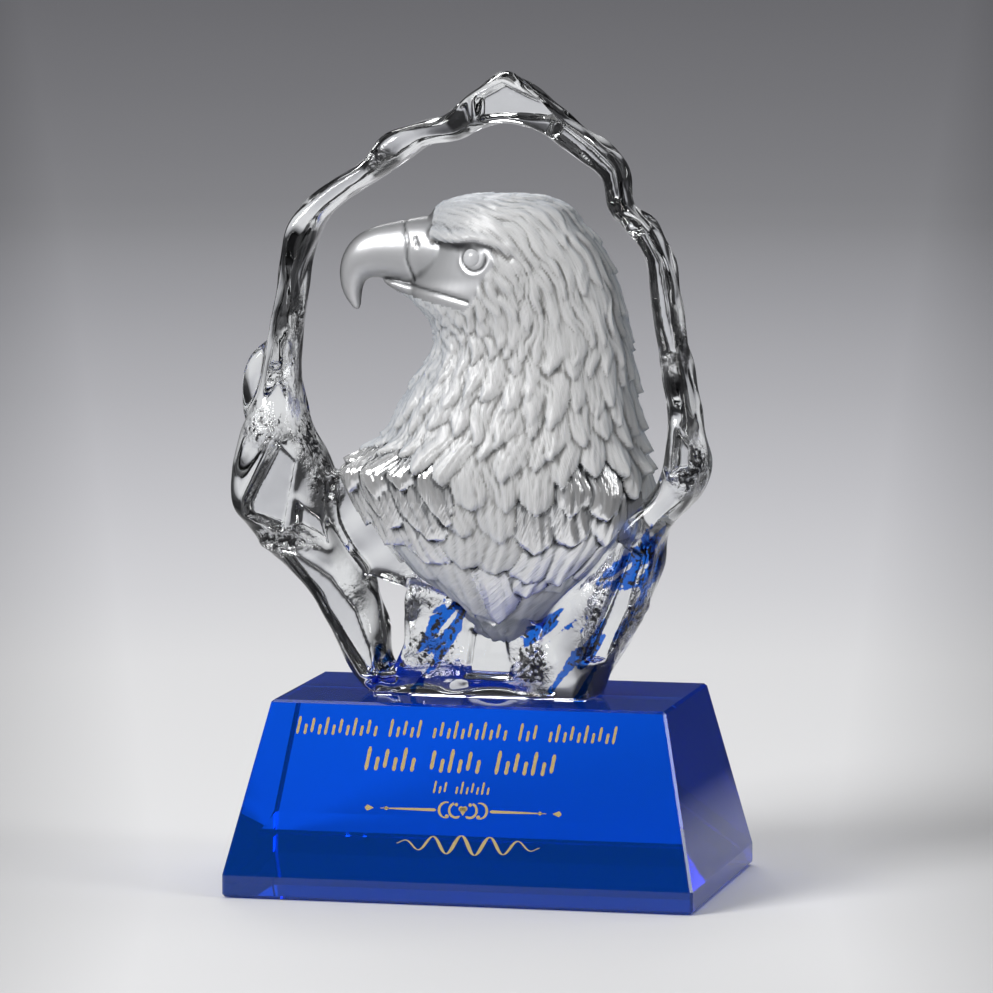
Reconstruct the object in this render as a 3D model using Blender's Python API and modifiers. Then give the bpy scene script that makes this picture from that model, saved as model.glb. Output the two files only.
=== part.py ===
"""Crystal eagle trophy.

A cobalt block carries one clear casting: an open, free-form rim with a frosted eagle's bust in it.
The bust looks along -X. Metres, +Z up, origin at the middle of the block's underside.
"""
import math

import bmesh
import bpy
import numpy as np
from mathutils import Matrix

# Driving dimensions of the block
BASE_WIDTH = 0.150
BASE_DEPTH = 0.100
SKIRT_HEIGHT = 0.0068
SLOPE_HEIGHT = 0.0536
TOP_WIDTH = 0.126
TOP_DEPTH = 0.067
BASE_BEVEL = 0.0008

# Driving dimensions of the casting
CRYSTAL_HEIGHT = 0.1955
FOOT_WIDTH = 0.067
FOOT_DEPTH = 0.026
FOOT_THICKNESS = 0.0055
GLUE_GAP = 0.0003

# The casting is drawn on its own grid, GRID_HEIGHT units from its foot to its peak
GRID_HEIGHT = 196.0
UNIT = CRYSTAL_HEIGHT / GRID_HEIGHT

# How finely the casting is meshed, in grid units, and how many triangles it ends with
BUST_VOXEL = 0.8
RIM_VOXEL = 1.2
BUST_TRIANGLES = 6000
RIM_TRIANGLES = 3400
RIM_SIDES = 16
BUST_SIDES = 48
RIM_SQUARENESS = 0.7
RIM_SMOOTHING = 5
BUST_SMOOTHING = 5

# The rim, clockwise from the left foot: outer x and height, inner x and height, half depth
RIM = [
    (-38, 0, -28, 0, 12.0),
    (-43, 5, -33, 8, 12.0),
    (-50, 17, -34, 20, 12.5),
    (-57, 30, -39, 35, 13.0),
    (-71, 44, -46, 45, 14.5),
    (-82, 57, -51, 57, 16.5),
    (-83, 69, -52, 69, 16.5),
    (-80, 81, -58, 81, 15.0),
    (-75, 93, -62, 92, 13.0),
    (-72, 107, -63, 107, 11.5),
    (-69, 122, -61, 121, 11.0),
    (-67, 135, -60, 132, 11.0),
    (-65, 147, -57, 141, 11.0),
    (-60, 154, -53, 149, 10.5),
    (-48, 163, -44, 157, 10.5),
    (-40, 168, -34, 163, 11.5),
    (-33, 176, -27, 168, 12.5),
    (-23, 180, -20, 173, 11.5),
    (-13, 183, -9, 175, 12.0),
    (-4, 191, -3, 178, 13.5),
    (5, 196, 5, 180, 14.0),
    (15, 190, 12, 179, 12.5),
    (25, 182, 21, 175, 11.0),
    (36, 174, 30, 169, 10.5),
    (43, 167, 37, 163, 10.5),
    (45, 155, 39, 154, 10.0),
    (52, 149, 45, 147, 11.0),
    (58, 138, 51, 138, 11.0),
    (61, 121, 53, 120, 10.5),
    (64, 104, 56, 103, 11.0),
    (67, 88, 58, 92, 12.0),
    (70, 74, 57, 78, 14.0),
    (67, 64, 54, 66, 14.5),
    (57, 52, 44, 56, 15.0),
    (54, 39, 34, 42, 16.0),
    (50, 27, 22, 29, 16.5),
    (40, 9, 14, 14, 15.0),
    (36, 0, 12, 0, 14.0),
]

# The bust, from crown to breast: height, left edge, right edge, half depth
BUST = [
    (157.6, -6, 11, 5.0),
    (156.6, -11, 18, 9.5),
    (154, -17, 25, 13.5),
    (149, -20, 29, 16.5),
    (142, -21, 35, 18.5),
    (132, -25, 40, 19.5),
    (125, -26, 42, 19.5),
    (117, -19, 44, 19.5),
    (109, -18, 45, 20.0),
    (101, -23, 46, 21.5),
    (92, -29, 47, 23.5),
    (82, -33, 48, 25.5),
    (76, -41, 50, 26.5),
    (70, -49, 52, 27.0),
    (62, -45, 52, 26.5),
    (50, -36, 47, 24.5),
    (40, -26, 36, 21.5),
    (31, -15, 26, 17.0),
    (23, -6, 16, 12.0),
    (18, 0, 8, 7.5),
]

# The upper beak, from the face to its tip: ridge x and height, cutting edge x and height, half width
UPPER_BEAK = [
    (-13, 151.0, -8, 127.0, 11.0),
    (-20, 150.5, -15, 126.5, 10.2),
    (-26, 149.5, -22, 128.0, 8.6),
    (-32, 148.2, -29, 129.5, 7.4),
    (-38, 146.6, -34.5, 130.5, 6.4),
    (-43.5, 143.6, -38.5, 130.5, 5.5),
    (-47, 139.5, -40.5, 129.5, 4.6),
    (-48.8, 134.5, -41.5, 127.5, 3.8),
    (-48.8, 129.0, -42.0, 124.5, 3.0),
    (-47.3, 124.5, -42.2, 121.8, 2.1),
    (-44.6, 120.6, -42.6, 120.0, 0.9),
]
# The lower beak: upper edge x and height, chin x and height, half width
LOWER_BEAK = [
    (-10, 129.0, -12, 119.0, 9.5),
    (-18, 129.5, -19, 121.0, 8.0),
    (-25, 130.0, -26, 123.6, 6.4),
    (-31, 130.4, -31.5, 126.6, 4.6),
    (-34.5, 130.0, -34.5, 128.6, 2.0),
]

# Brow ridge and eye on the bust's two sides: x, depth, height, radius
BROW = [(-18, 8.6, 145.2, 2.6), (-10, 12.4, 144.2, 3.4), (0, 15.6, 144.4, 3.8), (10, 16.8, 141.4, 3.2)]
EYE_PLACE = (-1.6, 138.3)
EYE_RADIUS = 4.0
EYE_DEPTH = 14.3
KNOB = [(-74, 0, 82, 3.0), (-76, 0, 88, 4.6), (-76.5, 0, 95, 5.0), (-75, 0, 102, 4.2), (-71, 0, 108, 3.0)]

# Bare skin of the face in the side view; the plumage starts at its edge
FACE_OUTLINE = [
    (-18.5, 165), (-18.3, 151.5), (-18.2, 142), (-10, 141.8), (-3, 143.4), (3.6, 141), (4.2, 136), (0.5, 132.6),
    (-1.0, 128.5), (-2.4, 124.6), (-4.6, 122.6), (-14.5, 124.4), (-24.6, 126.2), (-30, 127.4), (-36, 122),
    (-60, 110), (-60, 165),
]
MOUTH = [(-34, 130.4), (-29, 130.0), (-24.6, 129.1), (-14.5, 127.4), (-8, 126.0), (-3.6, 125.0)]
MOUTH_WIDTH = 1.1
MOUTH_DEPTH = 1.2

# Flat windows pressed into the rim, front and back: outline in the side view, half depth, slopes across and up
WINDOWS = [
    ([(-66.5, 79.5), (-60, 72.4), (-65, 54.6), (-76.5, 58), (-75.9, 63)], 12.8, -0.12, 0.06),
    ([(-59.5, 60.5), (-52.5, 55), (-50, 46.5), (-60.5, 52.2)], 11.6, -0.40, -0.05),
    ([(-64.5, 44.8), (-60.7, 43.9), (-47.4, 34.8), (-40, 22.4), (-37.4, 9.2), (-41, 9.6), (-50.2, 25.6)],
     10.8, -0.1, 0.1),
    ([(-2, 188.6), (6.5, 193.2), (18.5, 187.6), (24.5, 182.2), (15, 182), (5.5, 182.4), (-1.5, 181.6)],
     10.4, 0.03, 0.22),
    ([(62.3, 86), (66.4, 80), (66.5, 73), (61, 72)], 10.6, -0.3, 0.0),
    ([(47, 49), (52, 46), (47, 28), (40, 12), (33, 12), (40, 30)], 12.6, -0.2, 0.0),
]
SKIN_SHARE = 0.45
WINDOW_EDGE = 1.6

# Slow waves over the rim: how high, and how fast they turn across, in depth and up
WAVE_LIFT = 0.5
WAVE_TURNS = (0.21, 0.33, 0.17)
RIPPLE_LIFT = 0.3
RIPPLE_TURNS = (0.29, 0.31, 0.34)

# Clear panels that close the corners: the web beside the breast and the block under it
WEB = [(-55, 68), (-44, 66), (-30, 52), (-14, 36), (2, 22), (-6, 20), (-22, 33), (-32, 36), (-40, 38), (-46, 48)]
WEB_HALF_DEPTH = 7.0
PLINTH = [(-23, 33), (-4, 27), (16, 22), (18, 0), (-30, 0), (-28, 7), (-24, 15), (-23.5, 24)]
PLINTH_HALF_DEPTH = 12.0

# Plumage: the hub that the head's feathers turn about, and the feathers' size at the face and the breast
HUB = (-25.0, 112.0)
HEAD_REACH = 42.0
FIRST_ROW = 3.4
LAST_ROW = 13.5
ROWS_END = 190.0
FEATHER_LIFT = 2.9
EDGE_FADE = 2.0

# How the plumage changes down the neck: how far down, then the value there
NECK_RADIUS = ([0, 66, 90, 110, 130, 165], [26, 26, 31, 38, 38, 12])
SLIMNESS = ([0, 50, 100, 135], [0.62, 0.58, 0.78, 0.95])
ROUNDNESS = ([60, 105, 140], [1.5, 1.9, 2.2])
CARVING_STRENGTH = ([8, 40, 80, 110], [0.15, 0.40, 0.80, 1.05])
NAPE_STRENGTH = ([30, 50, 110, 125], [0, 0.8, 0.8, 0])
NAPE_WIDTH = 0.55

# One feather, in shares of its row's height: how feathers vary, how they narrow to the tip, and their cupping
ROWS_BACK = 4
STAGGER = 0.5
SIDE_JITTER = 0.36
ROW_JITTER = 0.7
SHORTEST = 2.0
LENGTH_SPREAD = 0.7
TIP_BEND = 0.35
HALF_WIDTH = 0.60
WIDTH_SPREAD = 0.12
EDGE_POWER = 0.75
CUPPING = 0.55
QUILL_RISE = 0.12
THINNEST = 0.8
THICKNESS_SPREAD = 0.4
CARVING_ZERO = 0.6

# The head narrows towards the face: how much, from which height, over how long a rise
FACE_NARROWING = 0.34
NARROW_FROM = 119
NARROW_RISE = 12


def clear_scene():
    """Start from an empty file."""
    for item in list(bpy.data.objects):
        bpy.data.objects.remove(item, do_unlink=True)


def make_collection(name):
    """A collection of its own in the scene."""
    group = bpy.data.collections.new(name)
    bpy.context.scene.collection.children.link(group)
    return group


def material(name, colour, roughness, transmission):
    """A Principled glass of one colour."""
    made = bpy.data.materials.new(name)
    made.use_nodes = True
    shader = made.node_tree.nodes["Principled BSDF"]
    shader.inputs["Base Color"].default_value = (*colour, 1.0)
    shader.inputs["Roughness"].default_value = roughness
    shader.inputs["Metallic"].default_value = 0.0
    shader.inputs["Transmission Weight"].default_value = transmission
    made.diffuse_color = (*colour, 1.0)
    return made


def add_object(name, mesh, group, finish=None):
    """Link a mesh to a collection, with its material."""
    made = bpy.data.objects.new(name, mesh)
    group.objects.link(made)
    if finish:
        mesh.materials.clear()
        mesh.materials.append(finish)
    return made


def smooth_stations(stations, steps):
    """Pass a smooth curve through the stations and read it at evenly spaced places."""
    points = np.array(stations, float)
    padded = np.vstack([2 * points[0] - points[1], points, 2 * points[-1] - points[-2]])
    places = np.linspace(0, len(points) - 1, steps)
    span = np.minimum(places.astype(int), len(points) - 2)
    t = (places - span)[:, None]
    before, start, end, after = (padded[span + k] for k in range(4))
    return 0.5 * (2 * start + (end - before) * t + (2 * before - 5 * start + 4 * end - after) * t ** 2
                  + (3 * start - before - 3 * end + after) * t ** 3)


def loft(name, rings):
    """Skin a row of rings of equal length and close both ends."""
    mesh = bpy.data.meshes.new(name)
    build = bmesh.new()
    loops = [[build.verts.new(point) for point in ring] for ring in rings]
    count = len(loops[0])
    for lower, upper in zip(loops, loops[1:]):
        for k in range(count):
            build.faces.new((lower[k], lower[(k + 1) % count], upper[(k + 1) % count], upper[k]))
    build.faces.new(loops[0])
    build.faces.new(loops[-1])
    bmesh.ops.recalc_face_normals(build, faces=build.faces)
    build.to_mesh(mesh)
    build.free()
    return mesh


def ring_between(outer, inner, half_depth, sides, squareness=1.0):
    """An oval that spans two points of the picture plane and bulges along Y."""
    outer = np.array(outer, float)
    inner = np.array(inner, float)
    angles = np.arange(sides) * 2 * math.pi / sides
    across = np.sign(np.cos(angles)) * np.abs(np.cos(angles)) ** squareness
    along = np.sign(np.sin(angles)) * np.abs(np.sin(angles)) ** squareness
    middle = (outer + inner) / 2
    reach = (outer - inner) / 2
    return [(middle[0] + reach[0] * a, half_depth * b, middle[1] + reach[1] * a) for a, b in zip(across, along)]


def banded(name, stations, steps, sides, squareness=1.0):
    """A band whose stations give its two edges and its half depth."""
    rings = [ring_between(row[0:2], row[2:4], row[4], sides, squareness)
             for row in smooth_stations(stations, steps)]
    return loft(name, rings)


def panel(name, outline, half_depth, rounding, group):
    """A flat outline with rounded rims, as a closed mesh."""
    curve = bpy.data.curves.new(name, "CURVE")
    curve.dimensions = "2D"
    curve.fill_mode = "BOTH"
    curve.extrude = half_depth - rounding
    curve.bevel_depth = rounding
    curve.bevel_resolution = 1
    spline = curve.splines.new("POLY")
    spline.points.add(len(outline) - 1)
    for point, (x, height) in zip(spline.points, outline):
        point.co = (x, height, 0, 1)
    spline.use_cyclic_u = True
    holder = bpy.data.objects.new(name, curve)
    group.objects.link(holder)
    holder.rotation_euler = (math.pi / 2, 0, 0)
    bpy.context.view_layer.update()
    found = holder.evaluated_get(bpy.context.evaluated_depsgraph_get())
    mesh = bpy.data.meshes.new_from_object(found)
    mesh.transform(holder.matrix_world)
    bpy.data.objects.remove(holder, do_unlink=True)
    return mesh


def bead_string(name, beads, side=1):
    """A run of overlapping balls, each given by x, depth, height and radius, on one side of the middle."""
    mesh = bpy.data.meshes.new(name)
    build = bmesh.new()
    for x, depth, height, radius in smooth_stations(beads, 4 * len(beads)):
        ball = bmesh.ops.create_uvsphere(build, u_segments=16, v_segments=10, radius=radius)
        bmesh.ops.translate(build, verts=ball["verts"], vec=(x, side * depth, height))
    build.to_mesh(mesh)
    build.free()
    return mesh


def joined(meshes):
    """Put several meshes in one, still as separate shells."""
    total = bmesh.new()
    for mesh in meshes:
        total.from_mesh(mesh)
        bpy.data.meshes.remove(mesh)
    result = bpy.data.meshes.new("joined")
    total.to_mesh(result)
    total.free()
    return result


def fused(mesh, voxel, smoothing, group):
    """Melt overlapping shells into one skin with voxels, then relax it."""
    holder = bpy.data.objects.new("fusing", mesh)
    group.objects.link(holder)
    melt = holder.modifiers.new("melt", "REMESH")
    melt.mode = "VOXEL"
    melt.voxel_size = voxel
    melt.adaptivity = 0.0
    relax = holder.modifiers.new("relax", "SMOOTH")
    relax.factor = 0.5
    relax.iterations = smoothing
    bpy.context.view_layer.update()
    found = holder.evaluated_get(bpy.context.evaluated_depsgraph_get())
    result = bpy.data.meshes.new_from_object(found)
    bpy.data.objects.remove(holder, do_unlink=True)
    return result


def read_points(mesh):
    """The mesh's points and their normals as arrays."""
    count = len(mesh.vertices)
    points = np.empty(count * 3)
    mesh.vertices.foreach_get("co", points)
    normals = np.empty(count * 3)
    mesh.vertices.foreach_get("normal", normals)
    return points.reshape(-1, 3), normals.reshape(-1, 3)


def write_points(mesh, points):
    """Move the mesh's points."""
    mesh.vertices.foreach_set("co", points.ravel())
    mesh.update()


def path_distance(points, path):
    """Distance in the side view from each point to a broken line."""
    flat = points[:, [0, 2]]
    nearest = np.full(len(flat), 1e9)
    for start, end in zip(path, path[1:]):
        start = np.array(start, float)
        run = np.array(end, float) - start
        share = np.clip((flat - start) @ run / (run @ run), 0, 1)
        nearest = np.minimum(nearest, np.linalg.norm(flat - start - share[:, None] * run, axis=1))
    return nearest


def inside_distance(points, outline):
    """How far inside a closed outline each point lies in the side view, negative outside it."""
    x, _, height = points.T
    loop = outline + outline[:1]
    crossings = np.zeros(len(points), int)
    for (x1, h1), (x2, h2) in zip(loop, loop[1:]):
        spans = (h1 > height) != (h2 > height)
        crossings += spans & (x < (x2 - x1) * (height - h1) / ((h2 - h1) or 1.0) + x1)
    return path_distance(points, loop) * np.where(crossings % 2 == 1, 1, -1)


def bust_edges(height):
    """The bust's left edge, right edge and half depth at each height."""
    rows = np.array(BUST)[::-1]
    return [np.interp(height, rows[:, 0], rows[:, k]) for k in (1, 2, 3)]


def plumage_place(points):
    """How far down the plumage a point lies, its angle round the neck, and the mean radius there."""
    x, y, height = points.T
    over = x - HUB[0]
    above = height - HUB[1]
    on_head = above > 0
    turn = np.clip(np.arctan2(over, above), 0, math.pi / 2)
    down = np.where(on_head, turn * HEAD_REACH, HEAD_REACH * math.pi / 2 - above)
    left, right, half_depth = bust_edges(np.where(on_head, HUB[1], height))
    half_width = (right - left) / 2
    sideways = np.where(on_head, np.hypot(over, above), over) - (left + right) / 2 + HUB[0]
    return down, np.arctan2(y / half_depth, sideways / half_width), (half_width + half_depth) / 2


def scatter(row, feather, seed):
    """A fixed number from 0 to 1 for each feather."""
    value = np.sin(row * 78.233 + feather * 37.719 + seed * 11.317) * 43758.5453
    return value - np.floor(value)


def feather_height(down, angle, radius):
    """Height of the overlapping feathers, from 0 in a crevice to 1 on a tip."""
    growth = (LAST_ROW - FIRST_ROW) / ROWS_END
    rank = np.log1p(growth * np.maximum(down, 0) / FIRST_ROW) / growth
    relief = np.zeros(len(down))
    for back in range(ROWS_BACK):
        row = np.floor(rank) + 1 - back
        row_start = (np.exp(growth * row) - 1) * FIRST_ROW / growth
        row_gap = FIRST_ROW + growth * row_start
        slimness = np.interp(row_start, *SLIMNESS)
        around = 2 * math.pi * np.interp(row_start + row_gap, *NECK_RADIUS) / (slimness * row_gap)
        around = np.maximum(np.round(around), 6)
        stagger = STAGGER * (row % 2) + SIDE_JITTER * scatter(row, 0, 3)
        column = np.round(angle / (2 * math.pi) * around - stagger)
        for step in (-1, 0, 1):
            feather = (column + step) % around
            first, second, third = (scatter(row, feather, seed) for seed in range(3))
            centre = (column + step + stagger + SIDE_JITTER * (first - 0.5)) / around * 2 * math.pi
            length = row_gap * (SHORTEST + LENGTH_SPREAD * second)
            along = (down - row_start - ROW_JITTER * row_gap * (third - 0.5)) / length
            bend = TIP_BEND * row_gap * (first - 0.5) * np.clip(along, 0, 1) ** 2
            offset = (angle - centre) * radius + bend
            across = offset / (row_gap * slimness * (HALF_WIDTH + WIDTH_SPREAD * second))
            narrowing = np.clip(2 * along - 1, 0, 1) ** np.interp(down, *ROUNDNESS)
            edge = np.clip(1 - narrowing, 0, 1) ** EDGE_POWER
            inside = (along > 0) & (along < 1) & (np.abs(across) < edge)
            cupped = 1 - CUPPING * (across / np.maximum(edge, 0.05)) ** 2
            here = (QUILL_RISE + (1 - QUILL_RISE) * along) * cupped * (THINNEST + THICKNESS_SPREAD * third)
            relief = np.where(inside, np.maximum(relief, here), relief)
    return relief


def feathered(mesh):
    """Raise the feathers on the bust, finer on the head than on the breast, and cut the mouth."""
    points, normals = read_points(mesh)
    down, angle, radius = plumage_place(points)
    eye = np.hypot(points[:, 0] - EYE_PLACE[0], points[:, 2] - EYE_PLACE[1])
    plumed = np.clip(-inside_distance(points, FACE_OUTLINE) / EDGE_FADE, 0, 1)
    plumed = plumed * np.clip((eye - EYE_RADIUS) / EDGE_FADE, 0, 1)
    ragged = 1 + np.exp(-(angle / NAPE_WIDTH) ** 2) * np.interp(down, *NAPE_STRENGTH)
    lift = FEATHER_LIFT * np.interp(down, *CARVING_STRENGTH) * ragged * plumed
    lift = lift * (feather_height(down, angle, radius) - CARVING_ZERO)
    mouth = np.exp(-(path_distance(points, MOUTH) / MOUTH_WIDTH) ** 2)
    write_points(mesh, points + normals * (lift - MOUTH_DEPTH * (1 - plumed) * mouth)[:, None])


def make_bust(group):
    """Head, neck, shoulders and breast, with beak, brow and eyes."""
    rows = smooth_stations(BUST, 60)
    trunk_rings = []
    for height, left, right, half_depth in rows:
        ring = ring_between((right, height), (left, height), half_depth, BUST_SIDES)
        narrowing = FACE_NARROWING * np.clip((height - NARROW_FROM) / NARROW_RISE, 0, 1)
        middle = (left + right) / 2
        shaped = []
        for x, y, z in ring:
            forward = max(0.0, (middle - x) / (middle - left))
            shaped.append((x, y * (1 - narrowing * forward ** 1.5), z))
        trunk_rings.append(shaped)
    pieces = [loft("trunk", trunk_rings)]
    pieces.append(banded("upper beak", UPPER_BEAK, 40, 24))
    pieces.append(banded("lower beak", LOWER_BEAK, 20, 20))
    for side in (-1, 1):
        pieces.append(bead_string("brow", BROW, side))
    bust = fused(joined(pieces), BUST_VOXEL, BUST_SMOOTHING, group)
    feathered(bust)
    return thinned(bust, BUST_TRIANGLES, group)


def make_eyes():
    """Two plain balls, one in each socket."""
    x, height = EYE_PLACE
    mesh = bpy.data.meshes.new("eyes")
    build = bmesh.new()
    for side in (-1, 1):
        ball = bmesh.ops.create_uvsphere(build, u_segments=14, v_segments=9, radius=EYE_RADIUS)
        bmesh.ops.translate(build, verts=ball["verts"], vec=(x, side * EYE_DEPTH, height))
    build.to_mesh(mesh)
    build.free()
    return mesh


def lumpy(mesh):
    """Swell and hollow the rim in slow waves, as poured glass does."""
    points, normals = read_points(mesh)
    x, y, height = points.T
    across, deep, up = WAVE_TURNS
    wave = np.sin(across * x + deep * y + 1) * np.sin(up * height)
    across, deep, up = RIPPLE_TURNS
    ripple = np.sin(up * height - across * x) * np.cos(deep * y)
    write_points(mesh, points + normals * (WAVE_LIFT * wave + RIPPLE_LIFT * ripple)[:, None])


def windowed(mesh):
    """Press the flat windows into the rim, front and back."""
    points, _ = read_points(mesh)
    for outline, depth, slope_across, slope_up in WINDOWS:
        centre = np.mean(outline, axis=0)
        share = np.clip(inside_distance(points, outline) / WINDOW_EDGE, 0, 1)
        plane = depth + slope_across * (points[:, 0] - centre[0]) + slope_up * (points[:, 2] - centre[1])
        plane = np.minimum(plane, np.abs(points[:, 1]))
        pressed = (1 - share) * points[:, 1] + share * np.sign(points[:, 1]) * plane
        on_skin = np.abs(points[:, 1]) > SKIN_SHARE * depth
        points[:, 1] = np.where(on_skin, pressed, points[:, 1])
    write_points(mesh, points)


def make_rim(group):
    """The open rim with its knob, its web and the block under the breast."""
    half_foot = FOOT_DEPTH / 2 / UNIT
    foot_left = -FOOT_WIDTH / 2 / UNIT
    foot_right = FOOT_WIDTH / 2 / UNIT
    foot_top = FOOT_THICKNESS / UNIT
    foot = [(foot_left, -2), (foot_right, -2), (foot_right, foot_top), (foot_left, foot_top)]
    pieces = [banded("rim", RIM, 150, RIM_SIDES, RIM_SQUARENESS)]
    pieces.append(bead_string("knob", KNOB))
    pieces.append(panel("web", WEB, WEB_HALF_DEPTH, 1.5, group))
    pieces.append(panel("block", PLINTH, PLINTH_HALF_DEPTH, 2.0, group))
    pieces.append(panel("foot", foot, half_foot, 1.0, group))
    rim = fused(joined(pieces), RIM_VOXEL, RIM_SMOOTHING, group)
    lumpy(rim)
    windowed(rim)
    return trimmed(thinned(rim, RIM_TRIANGLES, group))


def trimmed(mesh):
    """Cut the casting flat at its foot and close the cut."""
    build = bmesh.new()
    build.from_mesh(mesh)
    everything = build.verts[:] + build.edges[:] + build.faces[:]
    bmesh.ops.bisect_plane(build, geom=everything, plane_co=(0, 0, 0), plane_no=(0, 0, 1), clear_inner=True)
    rim_edges = [edge for edge in build.edges if edge.is_boundary]
    bmesh.ops.holes_fill(build, edges=rim_edges, sides=0)
    bmesh.ops.triangulate(build, faces=build.faces)
    bmesh.ops.recalc_face_normals(build, faces=build.faces)
    build.to_mesh(mesh)
    build.free()
    return mesh


def thinned(mesh, triangles, group):
    """Keep the form with fewer triangles."""
    mesh.calc_loop_triangles()
    holder = bpy.data.objects.new("thinning", mesh)
    group.objects.link(holder)
    collapse = holder.modifiers.new("collapse", "DECIMATE")
    collapse.ratio = triangles / len(mesh.loop_triangles)
    bpy.context.view_layer.update()
    found = holder.evaluated_get(bpy.context.evaluated_depsgraph_get())
    result = bpy.data.meshes.new_from_object(found)
    bpy.data.objects.remove(holder, do_unlink=True)
    return result


def make_casting(group, tools, finish):
    """Rim, bust and eyes as the one piece of crystal that they are."""
    made = add_object("crystal_eagle", make_rim(group), group, finish)
    for name, mesh in (("bust", make_bust(group)), ("eyes", make_eyes())):
        mesh.transform(Matrix.Scale(UNIT, 4))
        addition = add_object(name, mesh, tools)
        addition.hide_render = True
        addition.display_type = "WIRE"
        addition.location = (0, 0, SKIRT_HEIGHT + SLOPE_HEIGHT + GLUE_GAP)
        union = made.modifiers.new(name, "BOOLEAN")
        union.operation = "UNION"
        union.solver = "EXACT"
        union.object = addition
    made.data.transform(Matrix.Scale(UNIT, 4))
    made.location = (0, 0, SKIRT_HEIGHT + SLOPE_HEIGHT + GLUE_GAP)
    return made


def make_base(group, finish):
    """The block: a short upright skirt below four sloping faces."""
    height = SKIRT_HEIGHT + SLOPE_HEIGHT
    mesh = bpy.data.meshes.new("blue_base")
    build = bmesh.new()
    bmesh.ops.create_cube(build, size=1.0)
    bmesh.ops.scale(build, verts=build.verts, vec=(BASE_WIDTH, BASE_DEPTH, height))
    bmesh.ops.translate(build, verts=build.verts, vec=(0, 0, height / 2))
    everything = build.verts[:] + build.edges[:] + build.faces[:]
    bmesh.ops.bisect_plane(build, geom=everything, plane_co=(0, 0, SKIRT_HEIGHT), plane_no=(0, 0, 1))
    for vert in build.verts:
        if vert.co.z > height / 2:
            vert.co.x *= TOP_WIDTH / BASE_WIDTH
            vert.co.y *= TOP_DEPTH / BASE_DEPTH
    build.to_mesh(mesh)
    build.free()
    made = add_object("blue_base", mesh, group, finish)
    edge = made.modifiers.new("polished edges", "BEVEL")
    edge.width = BASE_BEVEL
    edge.segments = 1
    edge.limit_method = "ANGLE"
    edge.angle_limit = math.radians(40)
    return made


def main():
    """Build the trophy."""
    clear_scene()
    trophy = make_collection("crystal_eagle_trophy")
    additions = make_collection("additions")
    blue = material("cobalt crystal", (0.01, 0.07, 0.55), 0.03, 1.0)
    clear = material("clear crystal", (0.93, 0.95, 0.97), 0.05, 1.0)
    make_base(trophy, blue)
    make_casting(trophy, additions, clear)


main()
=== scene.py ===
# %% [markdown]
# # A crystal eagle trophy
# The trophy is two lumps of crystal. A cobalt block carries a clear casting: an open rim, shaped like ice,
# with a frosted eagle's bust inside it. This lesson dresses the two solids: it makes the casting again with
# fine plumage and polished breaks, colours the block in its depth, and fills the engraving with gold.

import math

import bmesh
import bpy
import numpy as np
from mathutils import Matrix, Vector, noise


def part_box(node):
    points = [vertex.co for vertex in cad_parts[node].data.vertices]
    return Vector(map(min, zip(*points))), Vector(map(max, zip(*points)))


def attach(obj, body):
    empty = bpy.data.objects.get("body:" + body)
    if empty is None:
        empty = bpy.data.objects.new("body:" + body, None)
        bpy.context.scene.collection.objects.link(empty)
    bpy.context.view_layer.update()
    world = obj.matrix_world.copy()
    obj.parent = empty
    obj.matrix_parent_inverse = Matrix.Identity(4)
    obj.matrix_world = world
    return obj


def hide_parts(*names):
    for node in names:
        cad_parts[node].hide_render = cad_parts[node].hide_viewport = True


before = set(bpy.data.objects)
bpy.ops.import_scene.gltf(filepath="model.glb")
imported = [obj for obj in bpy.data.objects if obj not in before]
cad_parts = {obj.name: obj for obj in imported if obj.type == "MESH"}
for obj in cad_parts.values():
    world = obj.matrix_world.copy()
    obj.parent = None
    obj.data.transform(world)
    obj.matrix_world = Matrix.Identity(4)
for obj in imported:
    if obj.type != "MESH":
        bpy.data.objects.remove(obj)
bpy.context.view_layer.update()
block_low, block_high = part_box("blue_base")
crystal_low, crystal_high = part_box("crystal_eagle")
print("solids:", sorted(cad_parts))

# %% [markdown]
# ## The casting's own grid
# The casting is drawn on a grid of 196 units from its foot to its peak, so one unit is about a millimetre.
# Every point below is in those units: x to the right, y in depth, and the height above the foot. The whole
# figure is made on the grid first and then brought to its real size, which is given, and set on the foot,
# whose level is read from the solid.

# %% The grid and the casting's real size
GRID_HEIGHT = 196.0
CRYSTAL_HEIGHT = 0.1955
UNIT = CRYSTAL_HEIGHT / GRID_HEIGHT
FOOT_LEVEL = crystal_low.z
print("one grid unit is", round(UNIT * 1000, 3), "mm; the foot stands at", round(FOOT_LEVEL * 1000, 2), "mm")

# %% [markdown]
# ## Tools for free forms
# A poured and broken form has no flat sketch behind it. Stations along its length say where its edges are,
# a smooth curve passes through them, and rings round that curve are skinned into a closed shell. Shells
# that overlap are melted together with a voxel remesh, which gives one even skin that can be carved.

# %% A smooth curve through stations, and rings skinned into a shell
BALLS_PER_BEAD = 6


def smooth_stations(stations, steps):
    """Pass a smooth curve through the stations and read it at evenly spaced places."""
    points = np.array(stations, float)
    padded = np.vstack([2 * points[0] - points[1], points, 2 * points[-1] - points[-2]])
    places = np.linspace(0, len(points) - 1, steps)
    span = np.minimum(places.astype(int), len(points) - 2)
    t = (places - span)[:, None]
    before, start, end, after = (padded[span + k] for k in range(4))
    return 0.5 * (2 * start + (end - before) * t + (2 * before - 5 * start + 4 * end - after) * t ** 2
                  + (3 * start - before - 3 * end + after) * t ** 3)


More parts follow.
